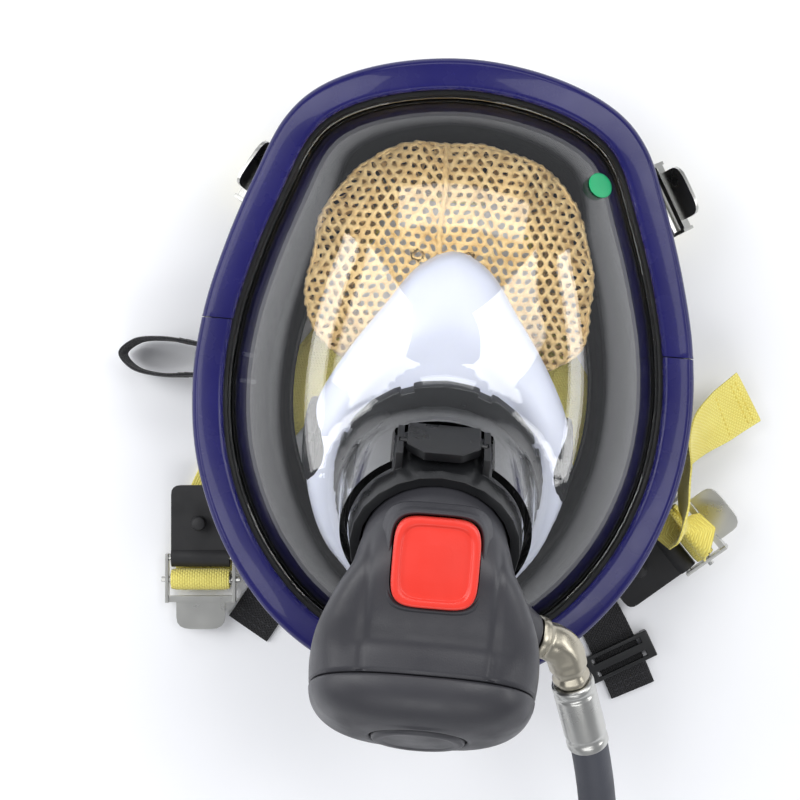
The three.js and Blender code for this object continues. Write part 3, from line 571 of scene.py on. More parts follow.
# ---- outline
HALF_OUTLINE = [
    (0, 124), (36, 119), (60, 108.5), (72, 96), (82, 73), (91, 47), (98, 18), (100, -12),
    (95, -44), (80, -77), (56, -104), (28, -119), (0, -123),
]
FLANGE = 15
DOME_Y = -8
DOME_APEX = 118


def mirrored(half):
    return list(half) + [(-x, y) for x, y in half[-2:0:-1]]


CONTROLS = np.array([(x, y, 0) for x, y in mirrored(HALF_OUTLINE)], float)
SPANS = len(CONTROLS)


def inward_normals():
    fine = curve(CONTROLS, SPANS * 100, closed=True)
    ahead = np.roll(fine, -1, axis=0)[::100]
    behind = np.roll(fine, 1, axis=0)[::100]
    along = unit_rows(ahead - behind)
    return np.column_stack([along[:, 1], -along[:, 0], np.zeros(SPANS)])


INWARD = inward_normals()
FRAME_HEIGHT = 72 - 14 * (CONTROLS[:, 0] / 100) ** 2


def outline_ring(inset, rise=1.0, step=0.0, count=SPANS * 8):
    """A ring set in from the frame's edge, at rise times the frame's height plus step."""
    moved = CONTROLS + INWARD * inset
    moved[:, 2] = rise * FRAME_HEIGHT + step
    return curve(moved, count, closed=True)


# ---- visor
FOOT = outline_ring(FLANGE, count=SPANS * 24)
foot_reach = np.hypot(FOOT[:, 0], FOOT[:, 1] - DOME_Y)
foot_at = by_angle(FOOT, DOME_Y)


def dome_height(x, y):
    angle = np.arctan2(y - DOME_Y, x)
    t = np.clip(np.hypot(x, y - DOME_Y) / foot_at(angle, foot_reach), 0, 1)
    low = foot_at(angle, FOOT[:, 2])
    return low + (DOME_APEX - low) * (1 - t**2.4) ** 0.75


VISOR_AROUND = 224
NECK_TOP = -4
VISOR_WALL = 2.9
# The visor's lines fan out from here, as seen from above.
FANS_FROM = np.array([0, -30.0])
EXHALE = {"centre": (0, -98, 86.6), "axis": (0, -0.757, 0.653)}


def neck_radius(z):
    return np.interp(z, [-60, -37, -30, NECK_TOP], [46, 40, 37, 34.6])


def visor_column(angle):
    """One line of the visor's skin, from the neck's mouth down and out to the flange."""
    def on_neck(z):
        r = neck_radius(z)
        return in_port([r * cos(angle), r * sin(angle), z])

    levels = np.arange(NECK_TOP - 8, -60, -0.5)
    meets = next(z for z in levels if on_neck(z)[2] < dome_height(*on_neck(z)[:2]))
    last_z = min(meets + 7, NECK_TOP - 2)
    neck = [on_neck(z) for z in np.linspace(NECK_TOP, last_z, 10)]
    corner = on_neck(meets)
    direction = unit(corner[:2] - FANS_FROM)
    reach = np.linspace(0, 140, 561)
    line = corner[:2] + reach[:, None] * direction
    angles = np.arctan2(line[:, 1] - DOME_Y, line[:, 0])
    past = np.hypot(line[:, 0], line[:, 1] - DOME_Y) - foot_at(angles, foot_reach)
    end = float(np.interp(0, past[past > -5], reach[past > -5]))
    begin = min(9.0, end * 0.3)
    dome = []
    for t in np.linspace(0, 1, 46):
        d = begin + (end - begin) * (1 - (1 - t) ** 1.9)
        x, y = corner[:2] + d * direction
        dome.append([x, y, float(dome_height(x, y))])
    fillet = [arc(neck[-1], corner, np.array(dome[0]), t) for t in np.linspace(0, 1, 8)[1:-1]]
    return np.array([*neck, *fillet, *dome])


def visor():
    columns = np.array([visor_column(a) for a in full_turn(VISOR_AROUND)])
    rings = list(columns.transpose(1, 0, 2))
    last = rings[-1]
    outward = unit_rows(last[:, :2] - np.array([0, DOME_Y]))
    for distance in (2.5, 7):
        out = last.copy()
        out[:, :2] += outward * distance
        rings.append(out)
    made = lofted("visor_shell", rings, visor_clear, caps=False, sharp=60)
    solidified(made, VISOR_WALL, -1)
    apply_modifiers(made)
    notch = piece("cutter", in_port([
        (x, y, z) for x in (-17.6, 17.6) for y in (20, 60) for z in (-22, 12)]),
        [(0, 1, 3, 2), (4, 6, 7, 5), (0, 4, 5, 1), (2, 3, 7, 6), (0, 2, 6, 4), (1, 5, 7, 3)],
        visor_clear)
    cut(made, notch)
    cut(made, drill(9.6, EXHALE["centre"], EXHALE["axis"]))
    sharpen(made.data, 50)
    fitted(made, "mask", "clear_visor", "visor")


visor()

# ---- clamp frame
FRAME_PROFILE = rounded([
    (0, -7.6), (0, 3.8), (2.2, 6.2), (11.4, 6.2), (12.6, 5), (12.6, 2.8), (3, 2.8),
    (3, -5.9), (8, -5.9), (8, -8.4), (0.8, -8.4),
], 1.1)
SPLIT_Y = 15
LUG = {"x": 93.8, "z": 46, "width": 6.4, "height": 12, "length": 8}
FRAME_GAP = 0.4
SQUARE = ((-1, -1), (1, -1), (1, 1), (-1, 1))
BLOCK_FACES = [(0, 3, 2, 1), (4, 5, 6, 7), (0, 1, 5, 4), (1, 2, 6, 5), (2, 3, 7, 6), (3, 0, 4, 7)]


def frame_half(side):
    """One half of the blue band, from one split to the other."""
    name = "frame_upper" if side > 0 else "frame_lower"
    edge = SPLIT_Y + side * FRAME_GAP / 2
    rings = np.array([outline_ring(i, 1, s, count=SPANS * 16) for i, s in FRAME_PROFILE])
    rings = np.roll(rings, rings.shape[1] // 2, axis=1) if side > 0 else rings
    y = rings[0, :, 1]
    kept = np.where((y - edge) * side > 0.6)[0]
    rings = rings[:, kept[0] - 1:kept[-1] + 2]
    rings[:, 0, 1] = edge
    rings[:, -1, 1] = edge
    rings[..., 1] = side * np.maximum(side * rings[..., 1], side * edge)
    made = lofted(name + "_band", rings.transpose(1, 0, 2), navy)
    parts = [made]
    for hand in (-1, 1):
        points = [(hand * LUG["x"] + a * LUG["width"] / 2, end, LUG["z"] + b * LUG["height"] / 2)
                  for end in (edge, edge + side * LUG["length"]) for a, b in SQUARE]
        lug = piece("lug", points, BLOCK_FACES, navy)
        bevelled(lug, 1.2, 3)
        apply_modifiers(lug)
        parts.append(lug)
    for part in parts:
        part.select_set(True)
    bpy.context.view_layer.objects.active = made
    bpy.ops.object.join()
    bpy.ops.object.select_all(action="DESELECT")
    sharpen(made.data, 40)
    fitted(made, "mask", "blue_frame", name)


bpy.ops.object.select_all(action="DESELECT")
frame_half(1)
frame_half(-1)
for hand in ("right", "left"):
    keep_node(f"frame_screw_{hand}", steel, 0.3)

# ---- face seal
# Each corner as inset, rise and step, as outline_ring takes them.
SEAL_PROFILE = [
    (14.3, 1, 2.4), (3.4, 1, 2.4), (3.4, 1, -5.5), (8.7, 1, -5.5), (9.6, 1, -13),
    (11.4, 0.5, 0), (15.6, 0, 14), (21, 0, 5), (26, 0, 2.3), (30, 0, 3.3), (34.5, 0, 10),
    (38, 0, 20), (36, 0, 21), (32.4, 0, 12.4), (28.8, 0, 6.4), (25.4, 0, 5.8), (19.2, 0, 15.6),
    (14.6, 0.5, 0), (13.2, 1, -13), (12.8, 1, -6.4), (15.4, 1, -5.8), (15.4, 1, -3.4),
    (6.3, 1, -3.4), (6.3, 1, 0.4), (14.3, 1, 0.4),
]


def seal():
    rings = []
    count = len(SEAL_PROFILE)
    for i in range(count):
        a, b, c = (np.array(SEAL_PROFILE[(i + k) % count], float) for k in (-1, 0, 1))
        first, last = b + (a - b) * 0.3, b + (c - b) * 0.3
        rings += [outline_ring(*arc(first, b, last, t), count=SPANS * 7)
                  for t in np.linspace(0, 1, 4)]
    made = lofted("face_seal_skin", rings, seal_rubber, closed=True, sharp=60)
    fitted(made, "mask", "black_rubber", "face_seal")


seal()

# ---- nose cup
CUP_HALF = [(0, 46), (13, 40), (26, 23), (39, 4), (48, -14), (51, -31), (48.5, -51), (40, -70),
            (23, -86), (0, -91)]
CUP_MIDDLE_Y = -30
CUP_RIM_Z = 35
CUP_NECK_R = 27.4
SPIGOT_R = 24.3
CUP_WALL = 2.2
INHALE = {"x": 47.6, "y": -29, "z": 69, "r": 16.5, "lean": radians(14)}


def nose_cup():
    rim = curve([(x, y, CUP_RIM_Z) for x, y in mirrored(CUP_HALF)], 144, closed=True)
    turn = np.arctan2(rim[:, 1] - CUP_MIDDLE_Y, rim[:, 0])
    around = lambda r, z: in_port(circle(r, turn, z))
    neck = around(CUP_NECK_R, -58)

    def ring(inset, up, wall):
        q = rim[:, :2] * (1 - inset) + neck[:, :2] * inset
        reach = np.hypot(q[:, 0], q[:, 1] - CUP_MIDDLE_Y)
        keep = 1 - wall / reach
        z = CUP_RIM_Z + (neck[:, 2] - CUP_RIM_Z) * up - wall * 0.7 * up
        return np.column_stack([
            q[:, 0] * keep, CUP_MIDDLE_Y + (q[:, 1] - CUP_MIDDLE_Y) * keep, z])

    stops = [(0.16, -0.03), (0, 0), (-0.05, 0.3), (-0.04, 0.65), (0.05, 0.92), (0.45, 1.07),
             (0.8, 1.04)]
    side = curve([(a, b, 0) for a, b in stops], 44)[:, :2]
    outside = [ring(a, b, 0) for a, b in side]
    inside = [ring(a, b, CUP_WALL) for a, b in side[6:][::-1]]
    rings = [*outside, around(CUP_NECK_R, -56), around(CUP_NECK_R, -47.6),
             around(SPIGOT_R + 0.4, -47.6), around(SPIGOT_R + 0.4, -60), *inside,
             ring(0.19, 0.02, 0)]
    made = lofted("nose_cup_skin", rings, silicone, closed=True, sharp=60)
    for hand in (-1, 1):
        direction = (hand * cos(INHALE["lean"]), 0, sin(INHALE["lean"]))
        centre = (hand * INHALE["x"], INHALE["y"], INHALE["z"])
        cut(made, drill(INHALE["r"] + 0.3, centre, direction))
    sharpen(made.data, 50)
    fitted(made, "mask", "silicone", "nose_cup")


nose_cup()
for hand in ("right", "left"):
    keep_node(f"inhale_seat_{hand}", black_plastic)
    keep_node(f"inhale_flap_{hand}", silicone, 0.2)

# ---- port and valves
for name, finish, width in [
    ("port_housing", black_plastic, 0.5), ("port_nut", black_plastic, 0.5),
    ("release_latch", black_plastic, 0.5), ("exhale_seat", black_plastic, 0.3),
    ("exhale_disc", silicone, 0.2),
    ("exhale_cover", black_plastic, 0.4), ("plug", black_plastic, 0.3),
    ("plug_seal_ring", black_rubber, 0.5),
    ("inlet_valve", brass, 0.2), ("inlet_poppet", nickel, 0.2),
    ("demand_lever", steel, 0.3), ("neck_strap_slider", black_plastic, 0.5),
]:
    keep_node(name, finish, width)


def coil_spring(name, node, centre, direction, radius, low, high, turns, wire, body):
    """A wire spring between two heights, that closes up towards its fixed end."""
    axes = axes_to(direction)
    share = np.linspace(0, 1, turns * 20 + 1)
    pitch = np.clip((share - 0.12) / 0.76, 0, 1)
    local = circle(radius, share * turns * TAU, low + wire + pitch * (high - low - 2 * wire))
    path = np.asarray(centre) + local @ axes.T
    made = swept(name, path, [wire] * len(path), steel, sides=8)
    fitted(made, body, "steel", node)
    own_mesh(made)


coil_spring("exhale_coil", "exhale_spring", EXHALE["centre"], EXHALE["axis"], 3.5, 5.6, 8.9, 3,
            0.25, "mask")
coil_spring("poppet_coil", "poppet_spring", INLET, INLET_AXIS, 2.05, -33, -21, 6, 0.22, "valve")

# ---- demand valve
NECK_R = 26


def neck_section(z):
    top = in_port([0, NECK_R, z])
    bottom = in_port([0, -NECK_R, z])
    return [top[1], top[2], bottom[1], bottom[2], NECK_R, 2]


SECTIONS = np.array([
    neck_section(-3), neck_section(6),
    [-49, 161, -90, 121, 27.4, 2.4], [-58, 165.5, -97, 116.5, 29.5, 2.8],
    [-68, 167, -105, 111.5, 34.5, 3], [-82, 164, -114, 106, 39.5, 3],
    [-94, 160.5, -122, 101, 41, 2.9], [-104, 160.5, -129, 97.5, 40.6, 2.8],
])
VALVE_AROUND = 200
VALVE_WALL = 2.6
BORE_R = 4.9


def squared(half_width, half_height, squareness, count=VALVE_AROUND):
    a = full_turn(count)
    power = lambda v: np.sign(v) * np.abs(v) ** (2 / squareness)
    return power(np.cos(a)) * half_width, power(np.sin(a)) * half_height


def across_section(section):
    """The middle of a section, its direction of height, and half its height."""
    ty, tz, by, bz = section[:4]
    up = np.array([0, ty - by, tz - bz])
    return np.array([0, (ty + by) / 2, (tz + bz) / 2]), unit(up), np.linalg.norm(up) / 2


def valve_ring(section, inset=0.0, along=0.0):
    """A ring of the body. Its top side carries a raised panel between two grooves."""
    centre, up, high = across_section(section)
    x, y = squared(section[4] - inset, high - inset, section[5])
    if inset == 0:
        panel = np.clip((along - 0.3) / 0.12, 0, 1) * (y > 0)
        groove = np.exp(-(((np.abs(x) - 22.5) / 1.3) ** 2))
        y = y - panel * groove * 0.9
        dip = np.exp(-(((along - 0.84) / 0.05) ** 2)) * np.clip(1 - (np.abs(x) / 30) ** 4, 0, 1)
        y = y - dip * (y > 0) * 1.1
    return centre + np.outer(x, [1, 0, 0]) + np.outer(y, up)


def valve_body():
    rows = 72
    padded = curve(SECTIONS, rows)
    outside = [valve_ring(s, 0, i / (rows - 1)) for i, s in enumerate(padded)]
    lip = [valve_ring(padded[-1], inset) for inset in (0.25, 0.7, 1.4)]
    lip[0] -= capward * 0.25
    lip[1] -= capward * 0.05
    outside[-1] = outside[-1] - capward * 0.7
    inside = [valve_ring(s, VALVE_WALL) for s in padded[::-3]]
    return lofted("valve_body", [*outside, *lip, *inside], valve_rubber, closed=True, sharp=50)


mouth = SECTIONS[-1]
mouth_centre, mouth_up, mouth_high = across_section(mouth)
capward = np.cross([1, 0, 0], mouth_up)


def in_cap(x, y, z):
    return mouth_centre + np.outer(x, [1, 0, 0]) + np.outer(y, mouth_up) + np.outer(z, capward)


def rounded_square(grow, z):
    """A ring of the reset button's outline, grown and at a height above its own zero."""
    x, y = squared((BUTTON["width"] + grow) / 2, (BUTTON["length"] + grow) / 2, 4.6, 96)
    return np.column_stack([x + BUTTON["x"], y + BUTTON["y"], np.full(96, BUTTON["z"] + z)])


body = valve_body()
cut(body, lofted("cutter", [rounded_square(1, -2), rounded_square(1, 30)], valve_rubber))
# The bore goes through one wall only.
cut(body, swept("cutter", [INLET - 24 * INLET_AXIS, INLET + 3 * INLET_AXIS], [BORE_R, BORE_R],
                valve_rubber, sides=64))
sharpen(body.data, 45)
fitted(body, "valve", "grey_rubber", "valve_housing")

# Rings of the collar round the button, and of the button, as growth and height.
WELL = [(1, -2.4), (1, 5.6), (1.8, 6.6), (3.2, 6.6), (4.6, 5.6), (6, 3.4), (9, 0.4), (9, -2.4)]
well = lofted("button_well", [rounded_square(g, z) for g, z in rounded(WELL, 0.6)], valve_rubber,
              closed=True, sharp=50)
fitted(well, "valve", "grey_rubber")

KEY = [(0, 3.4), (0, 11.2), (-0.6, 12.1), (-1.8, 12.4), (-4.2, 12.4), (-5.4, 12.0),
       (-6.2, 11.5), (-9, 11.55), (-18, 11.9), (-28.4, 12.05)]
key = lofted("reset_key", [rounded_square(g, z) for g, z in rounded(KEY, 0.5, closed=False)],
             red_plastic, sharp=50)
fitted(key, "reset", "red_plastic", "reset_button")

BOSS = [[BORE_R, -8], [12.2, -13], [11.9, -10], [8.0, -0.6], [7.2, 0], [BORE_R, 0]]
boss = turned("inlet_boss", BOSS, INLET, INLET_AXIS, valve_rubber, radius=0.8)
fitted(boss, "valve", "grey_rubber")

# End cap with its opening, and the purge button in it.
CAP_DEPTH = 16.5
PURGE_R = 17


def cap_ring(level, inset):
    a = level * pi / 2
    grow = max(cos(a), 1e-4) ** 0.62
    x, y = squared(mouth[4] * grow - inset, mouth_high * grow - inset, mouth[5])
    z = (CAP_DEPTH - inset) * sin(a) + 0.4
    return in_cap(x, y, np.full(len(x), z))


def cap_hole(radius, z):
    a = full_turn(VALVE_AROUND)
    return in_cap(radius * np.cos(a), radius * np.sin(a), np.full(VALVE_AROUND, z))


levels = np.linspace(0, 0.72, 26)
cap_rings = [cap_ring(level, 0) for level in levels]
cap_rings[0] = cap_ring(0, 0.5)
cap_rings.insert(1, cap_ring(0.02, 0.1))
cap_inside = [cap_ring(level, VALVE_WALL) for level in levels[::-3]]
cap_opening = [cap_hole(PURGE_R + gap, z) for gap, z in (
    (2.6, 15.9), (1.6, 16.1), (0.8, 15.8), (0.5, 15.2), (0.5, 12.6))]
cap = lofted("end_cap_skin", [*cap_rings, *cap_opening, *cap_inside], valve_rubber, closed=True,
             sharp=50)
fitted(cap, "valve", "grey_rubber", "end_cap")

PURGE = [[0, -2.2], [3.5, -2.2], [3.5, 10.6], [18, 10.6], [18, 11.6], [17, 12], [17, 15.6],
         [16.4, 16.8], [15, 17.3], [13.4, 17.1], [12.6, 16.7], [6, 17.2], [0, 17.4]]
purge = turned("purge_key", PURGE, mouth_centre, capward, valve_rubber, count=96, radius=0.5)
fitted(purge, "purge", "grey_rubber", "purge_button")

DIAPHRAGM = [[0, -4.6], [10, -4.6], [14, -4.6], [16, -4.2], [18, -4.6], [20.8, -4.6],
             [20.8, -3.8], [18, -3.8], [16, -3.4], [14, -3.8], [11, -3.8], [11, -2.6], [0, -2.6]]
diaphragm = turned("diaphragm_skin", DIAPHRAGM, mouth_centre, capward, black_rubber, count=72)
fitted(diaphragm, "diaphragm_plate", "black_rubber", "diaphragm")

# ---- elbow, ferrule
def elbow():
    """A cast elbow: collar, round run, mitred bend, and a spigot into the ferrule."""
    start = INLET + 0.5 * INLET_AXIS
    before = ELBOW_CORNER - 5.5 * INLET_AXIS
    after = ELBOW_CORNER + 5.5 * HOSE_AXIS
    end = ELBOW_CORNER + (ELBOW_DROP - 0.4) * HOSE_AXIS
    run = [start + (before - start) * t for t in np.linspace(0, 1, 9)]
    bend = [arc(before, ELBOW_CORNER, after, t) for t in np.linspace(0, 1, 12)[1:-1]]
    drop = [after + (end - after) * t for t in np.linspace(0, 1, 9)]
    radii = [7.6, 8.2, 8.2, 8.2, 7.4, 7.1, 7.1, 7.2, 7.3] + [7.35] * len(bend) + [
        7.2, 7.1, 7.1, 7.0, 6.3, 6.3, 6.9, 6.9, 6.5]
    facets = lambda a: 1 - 0.025 * np.cos(6 * a)
    made = swept("elbow_body", [*run, *bend, *drop], radii, nickel, sides=48, flats=facets)
    fitted(made, "valve", "nickel", "inlet_elbow")


elbow()
FERRULE = [[4, 0], [7.4, 0], [8.1, 0.8], [8.1, 2.6], [7.75, 3.4], [7.75, 4.6], [8.1, 5.4],
           [8.1, 24], [7.8, 25], [7.8, 26.4], [8.1, 27.4], [8.1, 30], [7.3, 30], [7.3, 3],
           [4, 3]]
ferrule = turned("crimp_ferrule", FERRULE, ELBOW_CORNER + ELBOW_DROP * HOSE_AXIS, HOSE_AXIS,
                 steel, radius=0.5)
fitted(ferrule, "valve", "steel", "hose_ferrule")

# ---- straps
STRAP_T = 1.6
WEB_T = 1.7
# Width, thickness and finish of the two kinds of tape.
STRAP = (25, STRAP_T, yellow)
WEB = (20, WEB_T, black_web)
OFF_TABLE = 0.08
# Each tape's middle line, sides, directions and distances, which its stitches follow.
lying = {}


def tape(name, stops, kind, per=10, wave=0.0):
    """A woven band along a path of [point, direction of its width], with a soft selvedge."""
    width, thickness, finish = kind
    places = curve([s[0] for s in stops], (len(stops) - 1) * per + 1)
    places[:, 2] = np.maximum(places[:, 2], thickness / 2 + OFF_TABLE)
    sides = curve([s[1] for s in stops], (len(stops) - 1) * per + 1)
    along = unit_rows(np.gradient(places, axis=0))
    length = distances(places)
    lying[name] = (places, sides, along, length)
    across = np.linspace(-1, 1, 13)
    edge = np.sqrt(np.clip(1 - np.abs(across) ** 8, 0, 1))
    section = [(s * width / 2, thickness / 2 * (0.45 + 0.55 * e)) for s, e in zip(across, edge)]
    section += [(s, -u) for s, u in section[::-1]]
    rings, uvs = [], []
    for i, (p, side, t) in enumerate(zip(places, sides, along)):
        side = unit(side - t * (side @ t))
        up = np.cross(side, t)
        ripple = wave * sin(length[i] / 7)
        rings.append([p + side * s + up * (u + ripple * (s / width) ** 2) for s, u in section])
        uvs += [(length[i], s + width / 2) for s, _ in section]
    return lofted(name, rings, finish, sharp=70, uvs=uvs)


def flat_stops(stops, thickness):
    """A tape's path on the table from x, y and heading in degrees."""
    made = []
    for x, y, heading in stops:
        a = radians(heading)
        made.append([(x, y, thickness / 2), (-sin(a), cos(a), 0)])
    return made


STITCH_STEP = 2.6


def stitches(name, tape_name, places, thickness, finish, width):
    """Rows of thread across a tape, at distances from its start, or from its end if below 0."""
    spots, sides, alongs, length = lying[tape_name]
    points, faces = [], []
    for place in places:
        d = place if place >= 0 else length[-1] + place
        centre, side, along = (
            np.array([np.interp(d, length, values[:, k]) for k in range(3)])
            for values in (spots, sides, alongs))
        along = unit(along)
        side = unit(side - along * (side @ along))
        up = np.cross(side, along)
        for facing in (-1, 1):
            for k in range(int(width / STITCH_STEP)):
                middle = centre + side * ((k + 0.5) * STITCH_STEP - width / 2) + up * (
                    facing * (thickness / 2 - 0.05))
                if middle[2] < 0.5:
                    continue
                first = len(points)
                for reach, lift in ((1, 0), (0.6, 0.28)):
                    for a, b in SQUARE:
                        points.append(middle + side * a * STITCH_STEP * 0.34 * reach
                                      + along * b * 0.32 * reach + up * lift * facing)
                faces += [tuple(first + corner for corner in face) for face in BLOCK_FACES]
    return piece(name, points, faces, finish)


thread = surface("yellow_thread", (226, 205, 88), (0.6, 0.8), 2200, 0.0001)
dark_thread = surface("black_thread", (48, 48, 52), (0.6, 0.8), 2200, 0.0001)

FLAT_STRAPS = {
    "right_cheek_strap": [(-40, 20, 225), (-58, -6, 228), (-76, -30, 236), (-90, -54, 248),
                          (-95.5, -76, 268), (-95, -92, 275)],
    "left_cheek_strap": [(40, 20, 315), (56, -4, 312), (70, -24, 314), (84, -42, 322),
                         (98, -52, 328)],
}
for name, stops in FLAT_STRAPS.items():
    band = tape(name + "_tape", flat_stops(stops, STRAP_T), STRAP, wave=0.3)
    fitted(band, "mask", "yellow_web", name)

# Each buckle set's origin, heading and pitch in degrees.
SETS = {
    "right_cheek": ((-97.7, -71.2, 0), -85, 0),
    "left_cheek": ((94.4, -71, 4), 44, 20),
    "right_temple": ((-79, 76, 12), 150, 72),
    "left_temple": ((79, 76.5, 12), 30, 62),
    "top": ((0, 122, 12), 90, 75),
}
ROLLER_X = 24.5
PIN_Z = 7.5


def set_axes(name):
    """Columns X away from the mask, Y across, Z up, of a buckle set, and its origin."""
    place, heading, pitch = SETS[name]
    h, p = radians(heading), radians(pitch)
    turn = np.array([[cos(h), -sin(h), 0], [sin(h), cos(h), 0], [0, 0, 1]])
    tilt = np.array([[cos(p), 0, -sin(p)], [0, 1, 0], [sin(p), 0, cos(p)]])
    return turn @ tilt, np.array(place, float)


def rising(name, inner):
    """A strap's path from under the mask up behind its buckle."""
    (x, y, z), heading, pitch = SETS[name]
    h, p = radians(heading), radians(pitch)
    out = np.array([cos(h), sin(h), 0])
    across = (-out[1], out[0], 0)
    lean = out * cos(p) + np.array([0, 0, sin(p)])
    foot = np.array([x, y, 0])
    spot = lambda distance, height: foot + out * distance + np.array([0, 0, height])
    behind = lambda distance: spot(1.2, z) + lean * distance
    return [[spot(inner, STRAP_T / 2), across], [spot(-14, STRAP_T / 2), across],
            [spot(-5, 2.2), across], [behind(-4), across], [behind(17), across]]


for name, inner in (("right_temple", -48), ("left_temple", -48), ("top", -46)):
    band = tape(name + "_tape", rising(name, inner), STRAP)
    fitted(band, "mask", "yellow_web", name + "_strap")


def strap_wrap(name, start):
    """A band wound nearly once round the roller of a cheek's buckle."""
    axes, origin = set_axes(name)
    stops = []
    for a in np.linspace(start, start + 0.96 * TAU, 16):
        local = (ROLLER_X + 3.8 * cos(a), 0, PIN_Z + 3.8 * sin(a))
        stops.append([origin + axes @ np.array(local), axes[:, 1]])
    return tape(name + "_wrap", stops, STRAP, per=4)


fitted(strap_wrap("right_cheek", -0.4), "right_cheek_clip", "yellow_web",
       "right_cheek_strap_end")
LEFT_TAIL = [
    ((108.6, -57.3, 23.2), (-0.7, 0.72, 0)),
    ((107.5, -58.2, 29), (-0.7, 0.72, 0)), ((105, -55, 39), (-0.4, 0.5, 0.75)),
    ((103.5, -44, 39.6), (0, 0, 1)), ((103.5, -34, 36), (0, 0, 1)),
    ((105, -24, 30), (-0.2, 0.2, 0.9)), ((111, -14, 24), (-0.5, 0.4, 0.75)),
    ((120, -6, 19), (-0.62, 0.6, 0.5)), ((131, 3, 16), (-0.65, 0.65, 0.35)),
]
fitted(strap_wrap("left_cheek", 0.9), "left_cheek_clip", "yellow_web")
cheek_tail = tape("left_cheek_tail", LEFT_TAIL, STRAP, wave=0.5)
hem = stitches("left_cheek_hem", "left_cheek_tail", (-3, -5.5, -15), STRAP_T, thread, width=21)
fitted(hem, "mask", "yellow_web")
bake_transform(cheek_tail)
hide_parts("left_cheek_strap_end")

LOOP = [(-82, 2, 22), (-104, 5, 18), (-120, 6, 15), (-131, 4, 13), (-136.5, -1.6, 12.5),
        (-131, -7.4, 12.5), (-119, -9.4, 13), (-102, -8, 16), (-82, -9, 22)]
loop = tape("neck_loop_tape", [(p, (0, 0, 1)) for p in LOOP], WEB)
fitted(loop, "mask", "black_web", "neck_strap_loop")
NECK = [(-74, -116, 62), (-60, -92, 58), (-44, -74, 42), (-16, -58, 16), (16, -56, 350),
        (44, -64, 330), (62, -78, 315), (76.5, -96, 304), (89.4, -117.4, 300), (95, -128, 298)]
neck_tape = tape("neck_strap_tape", flat_stops(NECK, WEB_T), WEB, per=8)
fitted(neck_tape, "mask", "black_web", "neck_strap")
for tape_name, places in (("neck_strap_tape", (-3, -5.5)), ("neck_strap_tape", (3, 6, 12)),
                          ("neck_loop_tape", (26, 29, -29, -26))):
    label = f"{tape_name}_stitches_{'end' if places[0] < 0 else 'start'}"
    rows = stitches(label, tape_name, places, WEB_T, dark_thread, width=16)
    fitted(rows, "mask", "black_web")
for name in ("right_temple", "left_temple", "top"):
    rows = stitches(name + "_stitches", name + "_tape", (4, 7, 14), STRAP_T, thread, width=20)
    fitted(rows, "mask", "yellow_web")

# ---- tabs, buckles
for name in SETS:
    keep_node(name + "_tab", black_rubber, 0.5)
    keep_node(name + "_buckle", steel)
for hand in ("right", "left"):
    keep_node(f"{hand}_cheek_roller", steel, 0.2)

# ---- head net
NET_HALF = [(0, 97), (30, 92), (50, 74), (58, 46), (56, 18), (34, 3), (0, -2)]
NET_Y = 46
NET_REACH = 58
NET_PITCH = 4.3
NET_HOLE = 1.3
# How far the nose cup reaches over the net, the net's height under it, and on the seal's lip.
CUP_TOP_Y = 50
UNDER_CUP_Z = 31.2
ON_LIP_Z = 22.7
# Folds as slope, place along X, width and height.
NET_FOLDS = [(-0.25, -18, 5, 2.2), (0.1, -9, 4, -1.6), (0.35, 24, 6, -2.2), (0.3, 36, 5, 2),
             (-0.6, 8, 4, 1.3)]
net_edge = curve([(x, y, 0) for x, y in mirrored(NET_HALF)], 240, closed=True)
net_reach = np.hypot(net_edge[:, 0], net_edge[:, 1] - NET_Y)
net_at = by_angle(net_edge, NET_Y)
# From the net's middle out and under: share of the way to its edge, and height.
NET_SIDE = curve([(0, 33.2, 0), (0.35, 32.4, 0), (0.7, 30.2, 0), (0.9, 27.2, 0), (1.03, 24.4, 0),
                  (0.97, 22.9, 0), (0.8, 21.5, 0), (0.71, 16, 0), (0.67, 9, 0), (0.64, 4.4, 0)],
                 90)[:, :2]
side_length = np.concatenate([[0], np.cumsum(np.hypot(
    np.diff(NET_SIDE[:, 0]) * NET_REACH, np.diff(NET_SIDE[:, 1])))])


def net_fold(points):
    """Lays flat net, in millimetres about its middle, over the crown and under its brim."""
    x, y = points[:, 0], points[:, 1]
    angle = np.arctan2(y, x)
    reach = net_at(angle, net_reach)
    gone = np.hypot(x, y) * NET_REACH / reach
    share = np.interp(gone, side_length, NET_SIDE[:, 0])
    z = np.interp(gone, side_length, NET_SIDE[:, 1])
    loose = np.clip(gone / NET_REACH, 0, 1) ** 2 * np.clip((side_length[-1] - gone) / 20, 0, 1)
    ruffle = (1.5 * np.sin(7 * angle + 0.8) + 1.1 * np.sin(13 * angle + 2.1)) * loose
    crease = 0
    for slope, place, width, height in NET_FOLDS:
        crease = crease + height * np.exp(-(((x + slope * y - place) / width) ** 2))
    crease = crease * np.clip(1.15 - gone / 60, 0, 1)
    slack_x = 0.34 * np.sin(1.31 * y + 0.7 * x) + 0.5 * np.sin(0.21 * y + 1.3)
    slack_y = 0.34 * np.sin(1.17 * x - 0.9 * y + 2) + 0.5 * np.sin(0.19 * x)
    height = z + ruffle + crease
    under_cup = np.clip((CUP_TOP_Y + 8 - (NET_Y + y)) / 8, 0, 1)
    height = np.minimum(height, 60 - (60 - UNDER_CUP_Z) * under_cup)
    height = np.where(share > 0.74, np.maximum(height, ON_LIP_Z), height)
    return np.column_stack([share * reach * np.cos(angle) + slack_x,
                            NET_Y + share * reach * np.sin(angle) + slack_y, height])


def net_reaches_end(x, y):
    reach = net_at(atan2(y, x), net_reach)
    return hypot(x, y) * NET_REACH / reach < side_length[-1] - 2


